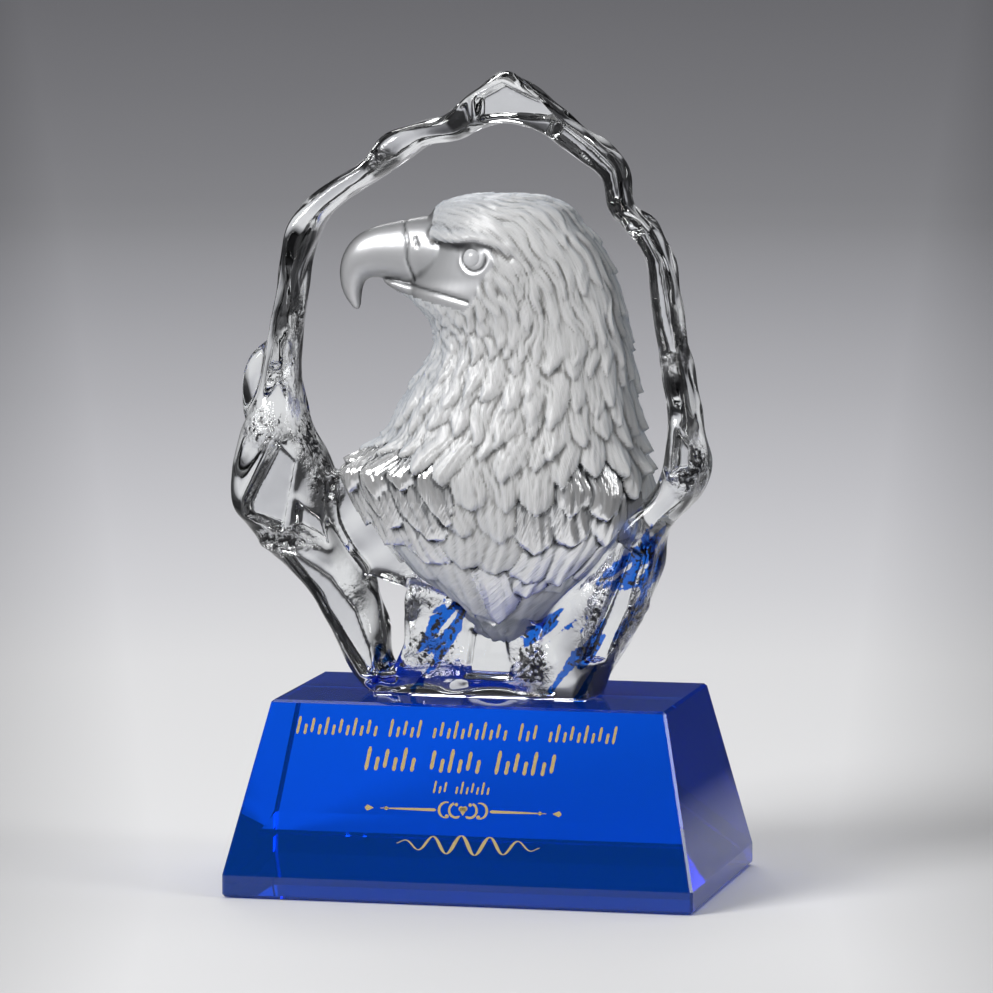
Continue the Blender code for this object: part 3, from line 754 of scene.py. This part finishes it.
def carve_bust(mesh):
    """Raise the plumage, cut the face's lines and keep the values that the finishes need, with a painted
    shade that darkens the hollows, the grooves, the eye socket and the place under the brow.
    """
    points, normals = read_points(mesh)
    down, angle, radius = plumage_place(points)
    sway = cloud_noise(points, 13.0)
    bend = cloud_noise(points + 50.0, 11.0)
    warp = np.interp(down, *SWAY)
    bend = bend * np.interp(down, *BEND)
    relief, across, along, seed, polish = carve_plumage(down + warp * sway, angle + bend, radius, points)
    plumed = np.clip(-inside_distance(points, FACE_OUTLINE) / FACE_EDGE, 0, 1)
    eye_distance = np.hypot(points[:, 0] - EYE_PLACE[0], points[:, 2] - EYE_PLACE[1])
    plumed = plumed * np.clip((eye_distance - EYE_RADIUS - 1.0) / 2.0, 0, 1)
    strength = np.interp(down, *FEATHER_STRENGTH)
    ragged = 1 + NAPE_EXTRA * np.exp(-(angle / NAPE_ANGLE) ** 2) * np.interp(down, *NAPE_RAGGED)
    lift = FEATHER_LIFT * strength * ragged * (1 + POLISH_EXTRA * polish) * plumed * (relief - RELIEF_MIDDLE)
    shaft = np.exp(-(across / SHAFT_WIDTH) ** 2) * np.interp(down, *SHAFT_STRENGTH)
    barbs = np.cos(across * BARB_COUNT + seed * 9) * np.interp(down, *BARB_STRENGTH) * (0.3 + 0.7 * along)
    hair = combed(down + 2 * warp * sway, angle + 2 * bend, radius)
    lift = lift + plumed * (shaft + barbs + hair * np.interp(down, *HAIR_STRENGTH))
    skin = 1 - plumed
    creases = np.max([cut * groove(points, path, width) for path, cut, width in FACE_GROOVES], axis=0)
    lift = lift - skin * creases
    lift = lift + skin * LIP_LIFT * groove(points, [(x, z - LIP_DROP) for x, z in MOUTH], 0.9)
    lift = lift - BROW_CUT * groove(points, BROW_CREASE, 1.1)
    lid = np.exp(-((eye_distance - EYE_RADIUS - 0.7) / 0.8) ** 2)
    lift = lift + LID_LIFT * lid * np.clip((EYE_PLACE[1] + 1.0 - points[:, 2]) / 3.0, 0, 1)
    lowered = np.clip((EYE_PLACE[1] + 2.5 - points[:, 2]) / 3.0, 0.15, 1)
    socket = np.exp(-((eye_distance - EYE_RADIUS + 0.1) / 0.5) ** 2) * lowered
    lift = lift - SOCKET_CUT * socket
    write_points(mesh, points + normals * lift[:, None])
    # Painted shade, kept as the shade value: darker in the hollows between feathers, most on polished
    # feathers, in the eye socket and the face's grooves, with a painted shadow under the brow.
    away = (points[:, [0, 2]] - BROW_SHADOW_PLACE) / BROW_SHADOW_REACH
    brow_shadow = np.exp(-(away ** 2).sum(axis=1))
    shade = EVEN_SHADE - (1.25 + 0.6 * polish) * hollows(mesh)
    shade = shade - 0.3 * np.maximum(socket, skin * creases) - 0.4 * brow_shadow
    keep_values(mesh, shade=np.clip(shade, 0, 1), plumed=plumed, polish=polish,
                comb_around=np.abs(angle) * radius, comb_down=down)
    return plumed


plumed_share = carve_bust(bust_mesh)
bust = placed("frosted_eagle", bust_mesh)
print("plumage covers", round(float((plumed_share > 0.5).mean()) * 100), "% of the bust")

# %% The two eyes
def make_eye(side):
    """One polished ball in its socket."""
    build = bmesh.new()
    bmesh.ops.create_uvsphere(build, u_segments=40, v_segments=24, radius=EYE_RADIUS)
    bmesh.ops.translate(build, verts=build.verts, vec=(EYE_PLACE[0], side * EYE_DEPTH, EYE_PLACE[1]))
    name = "eye_front" if side < 0 else "eye_back"
    return placed(name, mesh_from(build, name))


eyes = [make_eye(-1), make_eye(1)]
print("eyes:", [eye.name for eye in eyes])

# %% [markdown]
# ## Gold in the engraving
# The front of the block was engraved and the cuts filled with matt gold paint: three rows of slanted strokes,
# a divider of tapered bars, scrolls and a heart, and a wave. Each stroke is a thin ribbon laid in the sloping
# face, placed by its distance across and up the slope.

# %% The sloping face and the strokes' ribbons
TOP_DEPTH = 0.067
SKIRT_HEIGHT = 0.0068
SLOPE_RUN = block_high.y - TOP_DEPTH / 2
SLOPE_RISE = block_high.z - SKIRT_HEIGHT
FACE_LENGTH = math.hypot(SLOPE_RUN, SLOPE_RISE)
UP_SLOPE = Vector((0, SLOPE_RUN, SLOPE_RISE)) / FACE_LENGTH
OUT_OF_FACE = Vector((0, -SLOPE_RISE, SLOPE_RUN)) / FACE_LENGTH
FACE_START = Vector((0, block_low.y, SKIRT_HEIGHT))
GOLD_PROUD = 0.00006
MM = 0.001
GROUP_GAP = 1.2
STROKE_LEAN = 0.3
STROKE_HEIGHTS = (1.0, 0.58, 0.8, 0.58)
STROKE_LIFTS = (0, 0, 0.12, 0)
STROKE_PLACES = (0.0, 0.15, 0.5, 0.85, 1.0)
STROKE_WIDTHS = (0.5, 1.0, 0.85, 1.0, 0.5)


def on_face(across, up, proud):
    """A point of the sloping face, from millimetres across and up it."""
    return FACE_START + Vector((across * MM, 0, 0)) + UP_SLOPE * (up * MM) + OUT_OF_FACE * proud


def ribbon(build, path, widths):
    """A flat stroke of changing width, slightly proud of the face, with closed sides."""
    rows = []
    for k, (x, up) in enumerate(path):
        before = path[max(k - 1, 0)]
        after = path[min(k + 1, len(path) - 1)]
        along = Vector((after[0] - before[0], after[1] - before[1])).normalized()
        side = Vector((-along.y, along.x)) * widths[k] / 2
        edges = [(x + side.x, up + side.y), (x - side.x, up - side.y)]
        corners = [on_face(*edge, proud) for edge in edges for proud in (GOLD_PROUD, -GOLD_PROUD)]
        rows.append([build.verts.new(corner) for corner in corners])
    for lower, upper in zip(rows, rows[1:]):
        for a, b in ((0, 2), (2, 3), (3, 1), (1, 0)):
            build.faces.new((lower[a], lower[b], upper[b], upper[a]))
    build.faces.new([rows[0][k] for k in (0, 1, 3, 2)])
    build.faces.new([rows[-1][k] for k in (0, 2, 3, 1)])


def finish_strokes(name, build):
    """Turn the drawn strokes into a piece."""
    return in_scene(name, mesh_from(build, name, outward=True))


def stroke_row(name, groups, left, right, middle, height, thickness):
    """A row of slanted strokes in groups, of four heights in turn."""
    build = bmesh.new()
    pitch = (right - left) / (sum(groups) - 1 + GROUP_GAP * (len(groups) - 1))
    place = left
    turn = 0
    for group in groups:
        for _ in range(group):
            reach = height / 2 * STROKE_HEIGHTS[turn % 4]
            lean = STROKE_LEAN * reach
            foot = middle - height / 2 + STROKE_LIFTS[turn % 4] * height
            path = [(place + lean * (s - 0.5), foot + 2 * reach * s) for s in STROKE_PLACES]
            ribbon(build, path, [thickness * share for share in STROKE_WIDTHS])
            place += pitch
            turn += 1
        place += GROUP_GAP * pitch
    return finish_strokes(name, build)


print("the sloping face is", round(FACE_LENGTH * 1000, 1), "mm long")

# %% Three rows of strokes
gold_rows = [
    stroke_row("gold_row_1", (12, 5, 11, 3, 10), -53.5, 47.5, middle=48.3, height=5.6, thickness=0.95),
    stroke_row("gold_row_2", (6, 6, 7), -30.5, 28.5, middle=38.5, height=7.4, thickness=1.25),
    stroke_row("gold_row_3", (3, 7), -8.5, 8.5, middle=30.2, height=3.9, thickness=0.7),
]
print("rows of strokes:", [row.name for row in gold_rows])


# %% The divider and the wave below it
BARS = [
    ((8.6, 9.2, 20.0, 26.5), (0.35, 0.95, 0.6, 0.18)),
    ((23.6, 24.5, 25.4), (0.1, 1.3, 0.1)),
    ((28.6, 29.4, 30.6, 31.3), (0.1, 0.9, 1.9, 0.5)),
]
SCROLL_STEPS = 16
SCROLL_WIDTH = 0.95
DOT_PLACES = (-1.0, -0.8, -0.4, 0.0, 0.4, 0.8, 1.0)
WAVE_TURNS = 5
WAVE_STEPS = 90


def arc(centre, radius, start, end, steps):
    """Points of an arc, from angles in degrees."""
    angles = [math.radians(start + (end - start) * k / (steps - 1)) for k in range(steps)]
    return [(centre[0] + radius * math.cos(a), centre[1] + radius * math.sin(a)) for a in angles]


def disc(build, centre, radius):
    """A small filled dot, drawn as a very short fat stroke."""
    path = [(centre[0] + radius * s, centre[1]) for s in DOT_PLACES]
    widths = [2 * radius * math.sqrt(max(1 - s * s, 0.02)) for s in DOT_PLACES]
    ribbon(build, path, widths)


def divider(name, middle_x, up):
    """Two tapered bars, two pairs of scrolls and a heart."""
    build = bmesh.new()
    for side in (-1, 1):
        for places, widths in BARS:
            ribbon(build, [(middle_x + side * x, up) for x in places], widths)
        outer = [(middle_x + side * (5.3 - SCROLL_WIDTH * x), up + y + 0.1)
                 for x, y in arc((0, 0), 2.45, 75, 270, SCROLL_STEPS)]
        swells = [math.sin(math.pi * (k / (SCROLL_STEPS - 1))) for k in range(SCROLL_STEPS)]
        ribbon(build, outer, [0.3 + 0.55 * swell for swell in swells])
        disc(build, (middle_x + side * 5.0, up - 1.9), 0.62)
        inner = [(middle_x + side * (2.2 - SCROLL_WIDTH * x), up + 0.98 * y + 0.1)
                 for x, y in arc((0, 0), 2.3, 110, 305, SCROLL_STEPS)]
        ribbon(build, inner, [0.75] * (SCROLL_STEPS - 1) + [0.25])
        disc(build, (middle_x + side * 2.2, up + 1.9), 0.55)
        lobe = arc((middle_x + side * 0.62, up + 0.62), 0.42, 0, 360, 13)
        ribbon(build, lobe, [0.8] * 13)
    heart = [(middle_x, up + 0.9), (middle_x, up + 0.2), (middle_x, up - 0.6), (middle_x, up - 1.5)]
    ribbon(build, heart, [1.6, 2.1, 1.2, 0.12])
    return finish_strokes(name, build)


def wave_line(name, left, right, middle, height):
    """A plain tapered wave that closes the engraving below."""
    build = bmesh.new()
    path = []
    widths = []
    for k in range(WAVE_STEPS):
        s = k / (WAVE_STEPS - 1)
        turn = WAVE_TURNS * 2 * math.pi * s
        taper = math.sin(math.pi * s)
        path.append((left + (right - left) * s, middle + height / 2 * math.sin(turn) * taper ** 0.6))
        widths.append(0.22 + 0.95 * abs(math.cos(turn)) * taper)
    ribbon(build, path, widths)
    return finish_strokes(name, build)


gold_rows.append(divider("gold_divider", 0.9, 23.0))
gold_rows.append(wave_line("gold_wave", -19.5, 26.0, 12.2, 6.0))
print("gold pieces:", len(gold_rows))

# %% [markdown]
# ## Finishes
# The clear crystal is a plain glass shader, with its bump from the surface's waves and pits; its colour is
# painted near black in the pits, a painted shade, and blue in streaks, a painted refraction of the block.
# Fire polish is smooth with slow waves, broken places are pitted, and the plumage is satin, with painted
# shade in its hollows. The block takes most of its colour from depth, by absorption, so thick places are
# darker than thin ones.

# %% Shader nodes with named inputs
def feed(tree, socket, value):
    """Give a socket a plain value, or link another socket to it."""
    if isinstance(value, bpy.types.NodeSocket):
        tree.links.new(value, socket)
    else:
        socket.default_value = value


def add_node(tree, kind, **inputs):
    """A shader node with its inputs given by name, underscores standing for spaces."""
    node = tree.nodes.new("ShaderNode" + kind)
    for label, value in inputs.items():
        feed(tree, node.inputs[label.replace("_", " ")], value)
    return node


def add_group(tree, group, inputs):
    """A group node with its inputs given by their labels."""
    node = tree.nodes.new("ShaderNodeGroup")
    node.node_tree = group
    for label, value in inputs.items():
        feed(tree, node.inputs[label], value)
    return node


def new_group(name, inputs, outputs):
    """An empty shader node group with named number sockets, and its two ends."""
    group = bpy.data.node_groups.new(name, "ShaderNodeTree")
    for label, value in inputs.items():
        group.interface.new_socket(label, in_out="INPUT", socket_type="NodeSocketFloat").default_value = value
    for label in outputs:
        group.interface.new_socket(label, in_out="OUTPUT", socket_type="NodeSocketFloat")
    return group, group.nodes.new("NodeGroupInput").outputs, group.nodes.new("NodeGroupOutput").inputs


def calculate(tree, operation, first, second, clamp=False):
    """A Math node of two inputs, each a socket or a number."""
    node = add_node(tree, "Math")
    node.operation = operation
    node.use_clamp = clamp
    feed(tree, node.inputs[0], first)
    feed(tree, node.inputs[1], second)
    return node.outputs["Value"]


def ramp(tree, source, stops):
    """Turn a value into a colour through a few stops."""
    node = add_node(tree, "ValToRGB", Fac=source)
    elements = node.color_ramp.elements
    while len(elements) < len(stops):
        elements.new(0.5)
    for element, (place, tone) in zip(elements, stops):
        element.position = place
        element.color = (*tone, 1.0)
    return node.outputs["Color"]


def mixed(tree, share, first, second):
    """Blend two colours by a value; each may be a colour or a socket."""
    node = add_node(tree, "Mix")
    node.data_type = "RGBA"
    for k, value in ((0, share), (6, first), (7, second)):
        feed(tree, node.inputs[k], (*value, 1.0) if isinstance(value, tuple) else value)
    return node.outputs[2]


# %% Two shared effects: waves with grain, and combed hair
HAIR_STRETCH = 0.10
HAIR_SCALE = 1.7


def surface_waves():
    """Slow waves and fine grain as one height, for a Bump node."""
    group, given, result = new_group(
        "surface waves", {"Wave Size": 120.0, "Grain Size": 900.0, "Grain Share": 0.3}, ["Height", "Grain"])
    place = add_node(group, "TexCoord").outputs["Object"]
    wave = add_node(group, "TexNoise", Vector=place, Scale=given["Wave Size"], Detail=2.0).outputs["Fac"]
    grain = add_node(group, "TexNoise", Vector=place, Scale=given["Grain Size"], Detail=4.0).outputs["Fac"]
    blend = add_node(group, "Mix", Factor=given["Grain Share"], A=wave, B=grain)
    feed(group, result["Height"], blend.outputs["Result"])
    feed(group, result["Grain"], grain)
    return group


def combed_hair():
    """Hair-fine streaks that run with the plumage, from the values kept on the bust's points."""
    group, given, result = new_group("combed hair", {"Around": 0.0, "Down": 0.0}, ["Height"])
    stretch = calculate(group, "MULTIPLY", given["Down"], HAIR_STRETCH)
    place = add_node(group, "CombineXYZ", X=given["Around"], Y=stretch).outputs["Vector"]
    strands = add_node(group, "TexNoise", Vector=place, Scale=HAIR_SCALE, Detail=3.0)
    feed(group, result["Height"], strands.outputs["Fac"])
    return group


WAVES = surface_waves()
HAIR = combed_hair()
print("groups:", WAVES.name, "and", HAIR.name)


# %% A material with plain values
def set_shader(made, **values):
    """Set or link inputs of a material's shader by name, underscores standing for spaces."""
    shader = made.node_tree.nodes["Principled BSDF"]
    for label, value in values.items():
        feed(made.node_tree, shader.inputs[label.replace("_", " ")], value)


def shader_material(name, colour, roughness, transmission=0.0, ior=1.52, metallic=0.0):
    """A Principled material with plain values."""
    made = bpy.data.materials.new(name)
    made.use_nodes = True
    set_shader(made, Base_Color=(*colour, 1.0), Roughness=roughness, Transmission_Weight=transmission,
               IOR=ior, Metallic=metallic)
    return made


def bump(made, height, strength, distance):
    """Let a height move the shader's normal."""
    node = add_node(made.node_tree, "Bump", Height=height, Strength=strength, Distance=distance)
    set_shader(made, Normal=node.outputs["Normal"])


def read_value(tree, name):
    """Read one of the values kept on a mesh's points."""
    node = add_node(tree, "Attribute")
    node.attribute_name = name
    return node.outputs["Fac"]


print("material tools ready")

# %% Clear crystal with pits painted dark and streaks of painted blue
CLEAR_TINT = (0.965, 0.98, 0.985)
# Painted colours: near black specks in the pits, a painted shade, and the block's blue, a painted refraction.
PIT_SHADE = (0.0015, 0.0015, 0.0018)
PAINTED_BLOCK_BLUE = (0.0003, 0.03, 0.58)
WAVE_SHARE = 0.35
VEIL_START = 0.2
VEIL_GAIN = 2.6
PIT_SHARPNESS = 6.0
STREAK_PITS = 0.8
STREAK_RAGGED = 1.6
STREAK_EDGE = [(0.0, (0, 0, 0)), (0.40, (0, 0, 0)), (0.52, (1, 1, 1)), (1.0, (1, 1, 1))]


def clear_crystal():
    """Fire-polished glass; the values kept on the rim say where it is pitted, with painted shade in near
    black specks, and where the block's blue is painted in as a painted refraction.
    """
    made = shader_material("clear crystal", CLEAR_TINT, 0.0, 1.0)
    tree = made.node_tree
    waves = add_group(tree, WAVES, {"Wave Size": 60.0, "Grain Size": 620.0, "Grain Share": 0.0})
    grain = waves.outputs["Grain"]
    pits = read_value(tree, "pits")
    streak = read_value(tree, "streak")
    slow = calculate(tree, "MULTIPLY", waves.outputs["Height"], WAVE_SHARE)
    bump(made, calculate(tree, "ADD", slow, calculate(tree, "MULTIPLY", grain, pits)), 0.4, 0.0026)
    # Painted shade in grainy near black specks over the pits and the streaks, and painted blue along the
    # streaks.
    veiled = calculate(tree, "MULTIPLY", calculate(tree, "SUBTRACT", grain, VEIL_START), VEIL_GAIN)
    broken = calculate(tree, "MAXIMUM", pits, calculate(tree, "MULTIPLY", streak, STREAK_PITS))
    painted_dark = calculate(tree, "MULTIPLY", calculate(tree, "SUBTRACT", broken, veiled), PIT_SHARPNESS, True)
    ragged = calculate(tree, "MULTIPLY", calculate(tree, "SUBTRACT", grain, 0.5), STREAK_RAGGED)
    blue_refraction_share = ramp(tree, calculate(tree, "ADD", streak, ragged), STREAK_EDGE)
    set_shader(made, Base_Color=mixed(tree, painted_dark, mixed(tree, blue_refraction_share, CLEAR_TINT, PAINTED_BLOCK_BLUE), PIT_SHADE))
    return made


clear = clear_crystal()
print("finish:", clear.name)


# %% Frosted, polished and beak crystal
def bust_crystal(name, shade_tones, roughness, transmission, hair_strength, metallic=0.0):
    """Crystal of the bust: its tone follows the painted shade kept on the points, dark in the hollows between
    feathers, and hair runs over it.
    """
    made = shader_material(name, shade_tones[-1][1], roughness, transmission, 1.5, metallic)
    tree = made.node_tree
    hair = add_group(tree, HAIR, {"Around": read_value(tree, "comb_around"),
                                  "Down": read_value(tree, "comb_down")})
    strand = calculate(tree, "SUBTRACT", hair.outputs["Height"], 0.5)
    strand = calculate(tree, "MULTIPLY", strand, hair_strength)
    strand = calculate(tree, "MULTIPLY", strand, read_value(tree, "plumed"))
    shade = calculate(tree, "ADD", read_value(tree, "shade"), strand, True)
    set_shader(made, Base_Color=ramp(tree, shade, shade_tones))
    bump(made, strand, 0.5, 0.0012)
    return made


def paint_edge_shade(made, tone, blend):
    """Blend a tone in where a surface curves away from the eye, as painted shade at grazing edges."""
    tree = made.node_tree
    colour = tree.nodes["Principled BSDF"].inputs["Base Color"].links[0].from_socket
    facing = add_node(tree, "LayerWeight", Blend=blend).outputs["Facing"]
    set_shader(made, Base_Color=mixed(tree, facing, colour, tone))


# Colours for the painted shade value: the low stops paint shade into hollows and grooves, near black on
# polished feathers.
FROSTED_SHADE_TONES = [
    (0.0, (0.2, 0.195, 0.185)), (0.35, (0.5, 0.492, 0.48)),
    (0.62, (0.87, 0.87, 0.865)), (1.0, (0.99, 0.99, 0.99)),
]
POLISHED_SHADE_TONES = [
    (0.0, (0.03, 0.032, 0.035)), (0.4, (0.45, 0.46, 0.47)),
    (0.58, (0.95, 0.96, 0.97)), (1.0, (1.0, 1.0, 1.0)),
]
BEAK_SHADE_TONES = [
    (0.0, (0.06, 0.06, 0.065)), (0.4, (0.36, 0.365, 0.375)),
    (0.62, (0.78, 0.79, 0.81)), (1.0, (0.9, 0.9, 0.92)),
]
# Painted shade at grazing edges: near black on the beak, standing in for the dark surroundings it reflects,
# and a cool blue-grey on the frosted bust, standing in for light through its thin edges.
BEAK_EDGE_SHADE = (0.05, 0.052, 0.055)
FROST_EDGE_SHADE = (0.50, 0.58, 0.70)
EYE_TONE = (0.82, 0.83, 0.85)
frosted = bust_crystal("frosted crystal", FROSTED_SHADE_TONES, 0.4, 0.35, 0.65)
paint_edge_shade(frosted, FROST_EDGE_SHADE, 0.26)
set_shader(frosted, Subsurface_Weight=0.55, Subsurface_Radius=(1.0, 1.0, 1.0), Subsurface_Scale=0.0035,
           Coat_Weight=0.35, Coat_Roughness=0.22)
plume = bust_crystal("polished plumage", POLISHED_SHADE_TONES, 0.15, 0.15, 0.5, 0.65)
beak = bust_crystal("beak crystal", BEAK_SHADE_TONES, 0.34, 0.2, 0.0, 0.35)
paint_edge_shade(beak, BEAK_EDGE_SHADE, 0.58)
eye_glass = shader_material("eye crystal", EYE_TONE, 0.05, 0.25)
print("finishes:", [finish.name for finish in (frosted, plume, beak, eye_glass)])


# %% Cobalt crystal and gold fill
COBALT_TINT = (0.01, 0.20, 0.95)
COBALT_DEPTH_TONE = (0.02, 0.46, 0.97, 1.0)
COBALT_DENSITY = 18.0
GOLD_TONE = (0.39, 0.295, 0.115)


def cobalt_crystal():
    """Blue glass whose colour deepens with the way that light goes through it."""
    made = shader_material("cobalt crystal", COBALT_TINT, 0.0, 0.86, 1.5)
    depth = add_node(made.node_tree, "VolumeAbsorption", Color=COBALT_DEPTH_TONE, Density=COBALT_DENSITY)
    feed(made.node_tree, made.node_tree.nodes["Material Output"].inputs["Volume"], depth.outputs["Volume"])
    return made


def gold_fill():
    """Matt gold paint with fine grain."""
    made = shader_material("gold fill", GOLD_TONE, 0.45, 0.0, 1.45, 0.35)
    waves = add_group(made.node_tree, WAVES, {"Wave Size": 1500.0, "Grain Size": 6000.0, "Grain Share": 0.5})
    bump(made, waves.outputs["Height"], 0.3, 0.0004)
    return made


cobalt = cobalt_crystal()
gold = gold_fill()
print("block and gold finishes ready")


# %% [markdown]
# ## Which finish goes where
# The bust is one skin with several finishes. A face of the mesh takes its finish from where it lies: the
# beak and the bare skin are smooth, whole feathers in three patches of the breast are polished, and the rest
# is satin.

# %% Share the finishes out
def point_values(mesh, name):
    """Read back a value kept on the mesh's points."""
    numbers = np.empty(len(mesh.vertices), np.float32)
    mesh.attributes[name].data.foreach_get("value", numbers)
    return numbers


def face_means(mesh, numbers):
    """The mean of a point value over each face."""
    corners = np.empty(len(mesh.loops), np.int32)
    mesh.loops.foreach_get("vertex_index", corners)
    starts = np.empty(len(mesh.polygons), np.int32)
    mesh.polygons.foreach_get("loop_start", starts)
    sizes = np.empty(len(mesh.polygons), np.int32)
    mesh.polygons.foreach_get("loop_total", sizes)
    return np.add.reduceat(numbers[corners], starts) / sizes


plumed_face = face_means(bust.data, point_values(bust.data, "plumed"))
polished_face = face_means(bust.data, point_values(bust.data, "polish"))
finish_index = np.where(plumed_face < 0.5, 1, np.where(polished_face > 0.5, 2, 0)).astype(np.int32)
for finish in (frosted, beak, plume):
    bust.data.materials.append(finish)
bust.data.polygons.foreach_set("material_index", finish_index)
bust.data.update()
rim.data.materials.append(clear)
for eye in eyes:
    eye.data.materials.append(eye_glass)
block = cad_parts["blue_base"]
block.data.materials.clear()
block.data.materials.append(cobalt)
for row in gold_rows:
    row.data.materials.append(gold)
print("finishes shared out")

# %% Tie every piece to the frame
crystal_pieces = [(rim, "clear_crystal"), (bust, "frosted_crystal"), (eyes[0], "clear_crystal"),
                  (eyes[1], "clear_crystal")]
for piece, slot_name in crystal_pieces:
    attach(piece, "root")
for row in gold_rows:
    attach(row, "root")
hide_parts("crystal_eagle")
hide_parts("crystal_eagle")
print("pieces tied:", len(crystal_pieces) + len(gold_rows))

# %% [markdown]
# ## The studio
# Clear glass has no look of its own: it shows what is around it. The trophy stands on a pale floor that
# darkens with distance, a painted pool of light on top of the soft boxes' own fall-off, and curves up into a
# wall painted dark, under soft boxes. The floor is pale along the view and painted near black on both sides
# of it, a painted shade where the room round the set would be unlit, and those dark sides draw the black
# lines in the crystal.

# %% The floor and the wall behind, as one turned bowl
FLOOR_DROP = 0.0004
FLOOR_REACH = 2.9
CURVE_RADIUS = 0.7
WALL_HEIGHT = 2.6
# Painted shade: the wall above this height and the floor beside the view are painted near black, where the
# room round the set would be unlit.
DARK_FROM = 1.1
ROOM_SHADE_TONE = (0.03, 0.03, 0.032)
VIEW_TURN = math.radians(12.804)
AWAY = (-math.sin(VIEW_TURN), math.cos(VIEW_TURN), 0.0)
ACROSS = (math.cos(VIEW_TURN), math.sin(VIEW_TURN), 0.0)
PATH_HALF_WIDTH = 0.105
PATH_SPREAD = 0.072
PATH_FADE = 0.2
# Floor tones by distance, pale near the trophy and darker away from it: a painted pool of light.
FLOOR_POOL_TONES = [
    (0.0, (0.66, 0.66, 0.665)), (0.147, (0.64, 0.64, 0.65)), (0.21, (0.58, 0.58, 0.60)),
    (0.314, (0.51, 0.51, 0.535)), (0.447, (0.44, 0.44, 0.465)), (0.625, (0.38, 0.38, 0.405)),
    (0.81, (0.34, 0.34, 0.36)), (0.97, (0.175, 0.175, 0.19)),
]


def studio_bowl():
    """A floor that curves up into a wall, turned round the trophy."""
    curve = [(reach, -FLOOR_DROP) for reach in (0.0001, 0.4, 1.0, 2.0, FLOOR_REACH)]
    for k in range(1, 11):
        turn = math.radians(9 * k)
        rise = CURVE_RADIUS * (1 - math.cos(turn))
        curve.append((FLOOR_REACH + CURVE_RADIUS * math.sin(turn), -FLOOR_DROP + rise))
    curve.append((FLOOR_REACH + CURVE_RADIUS, WALL_HEIGHT))
    build = bmesh.new()
    points = [build.verts.new((x, 0, z)) for x, z in curve]
    edges = [build.edges.new(pair) for pair in zip(points, points[1:])]
    bmesh.ops.spin(build, geom=points + edges, cent=(0, 0, 0), axis=(0, 0, 1), angle=2 * math.pi, steps=72)
    bmesh.ops.remove_doubles(build, verts=build.verts, dist=0.00005)
    mesh = mesh_from(build, "studio", outward=True)
    mesh.shade_smooth()
    return in_scene("studio", mesh)


def run_along(tree, place, direction):
    """How far a place lies along a level direction."""
    node = add_node(tree, "VectorMath")
    node.operation = "DOT_PRODUCT"
    feed(tree, node.inputs[0], place)
    feed(tree, node.inputs[1], direction)
    return node.outputs["Value"]


def studio_paint():
    """Pale under the trophy and greyer with distance, a painted pool of light, and painted near black on both
    sides of the view and up the wall, a painted shade of the unlit room.
    """
    made = shader_material("studio paint", FLOOR_POOL_TONES[0][1], 0.9)
    tree = made.node_tree
    place = add_node(tree, "TexCoord").outputs["Object"]
    length = add_node(tree, "VectorMath")
    length.operation = "LENGTH"
    feed(tree, length.inputs[0], place)
    distance = calculate(tree, "DIVIDE", length.outputs["Value"], FLOOR_REACH + CURVE_RADIUS)
    tone = ramp(tree, distance, FLOOR_POOL_TONES)
    ahead = run_along(tree, place, AWAY)
    side = calculate(tree, "ABSOLUTE", run_along(tree, place, ACROSS), 0.0)
    spread = calculate(tree, "MULTIPLY", calculate(tree, "MAXIMUM", ahead, 0.0), PATH_SPREAD)
    beyond = calculate(tree, "SUBTRACT", calculate(tree, "SUBTRACT", side, spread), PATH_HALF_WIDTH)
    shaded_wings = calculate(tree, "DIVIDE", beyond, PATH_FADE, True)
    height = add_node(tree, "SeparateXYZ", Vector=place).outputs["Z"]
    painted_dark = calculate(tree, "MAXIMUM", calculate(tree, "DIVIDE", height, DARK_FROM, True), shaded_wings)
    set_shader(made, Base_Color=mixed(tree, painted_dark, tone, ROOM_SHADE_TONE), Specular_IOR_Level=0.1)
    return made


bowl = studio_bowl()
bowl.data.materials.append(studio_paint())
print("studio bowl:", len(bowl.data.polygons), "faces")


# %% Soft boxes and the air over the bowl
AIR_TONE = (0.07, 0.07, 0.073, 1.0)


def soft_box(name, place, width, height, power, target=(0, 0, 0.14)):
    """An area light that looks at the trophy."""
    lamp = bpy.data.lights.new(name, "AREA")
    lamp.shape = "RECTANGLE"
    lamp.size = width
    lamp.size_y = height
    lamp.energy = power
    made = in_scene(name, lamp)
    made.location = place
    made.rotation_euler = (Vector(target) - Vector(place)).to_track_quat("-Z", "Y").to_euler()
    return made


key_box = soft_box("key box", (-1.6, -1.8, 1.7), 1.2, 1.2, 80)
soft_box("side box", (1.9, -0.4, 1.1), 0.35, 1.5, 12)
top_box = soft_box("top box", (0.0, 0.9, 2.5), 3.0, 2.2, 44, (0, 0.9, 0))
soft_box("back box", (-1.0, 3.0, 2.1), 1.6, 0.7, 22)
for lamp in (key_box, top_box):
    lamp.visible_transmission = False
world = bpy.data.worlds.new("studio air")
bpy.context.scene.world = world
world.use_nodes = True
world.node_tree.nodes["Background"].inputs["Color"].default_value = AIR_TONE
world.node_tree.nodes["Background"].inputs["Strength"].default_value = 1.0
bpy.context.scene.view_settings.view_transform = "Standard"

# %% The camera at the photograph's angle
PICTURE_SIZE = 993
FOCAL_PIXELS = 7000
SENSOR = 36.0
CAMERA_PLACE = (0.4877, -2.1381, 0.3682)
CAMERA_DOWN = math.radians(6.397)
camera_data = bpy.data.cameras.new("camera")
camera_data.sensor_width = SENSOR
camera_data.lens = FOCAL_PIXELS / PICTURE_SIZE * SENSOR
camera = in_scene("camera", camera_data)
camera.location = CAMERA_PLACE
camera.rotation_euler = (math.pi / 2 - CAMERA_DOWN, 0, VIEW_TURN)
bpy.context.scene.camera = camera
print("camera lens", round(camera_data.lens, 1), "mm")
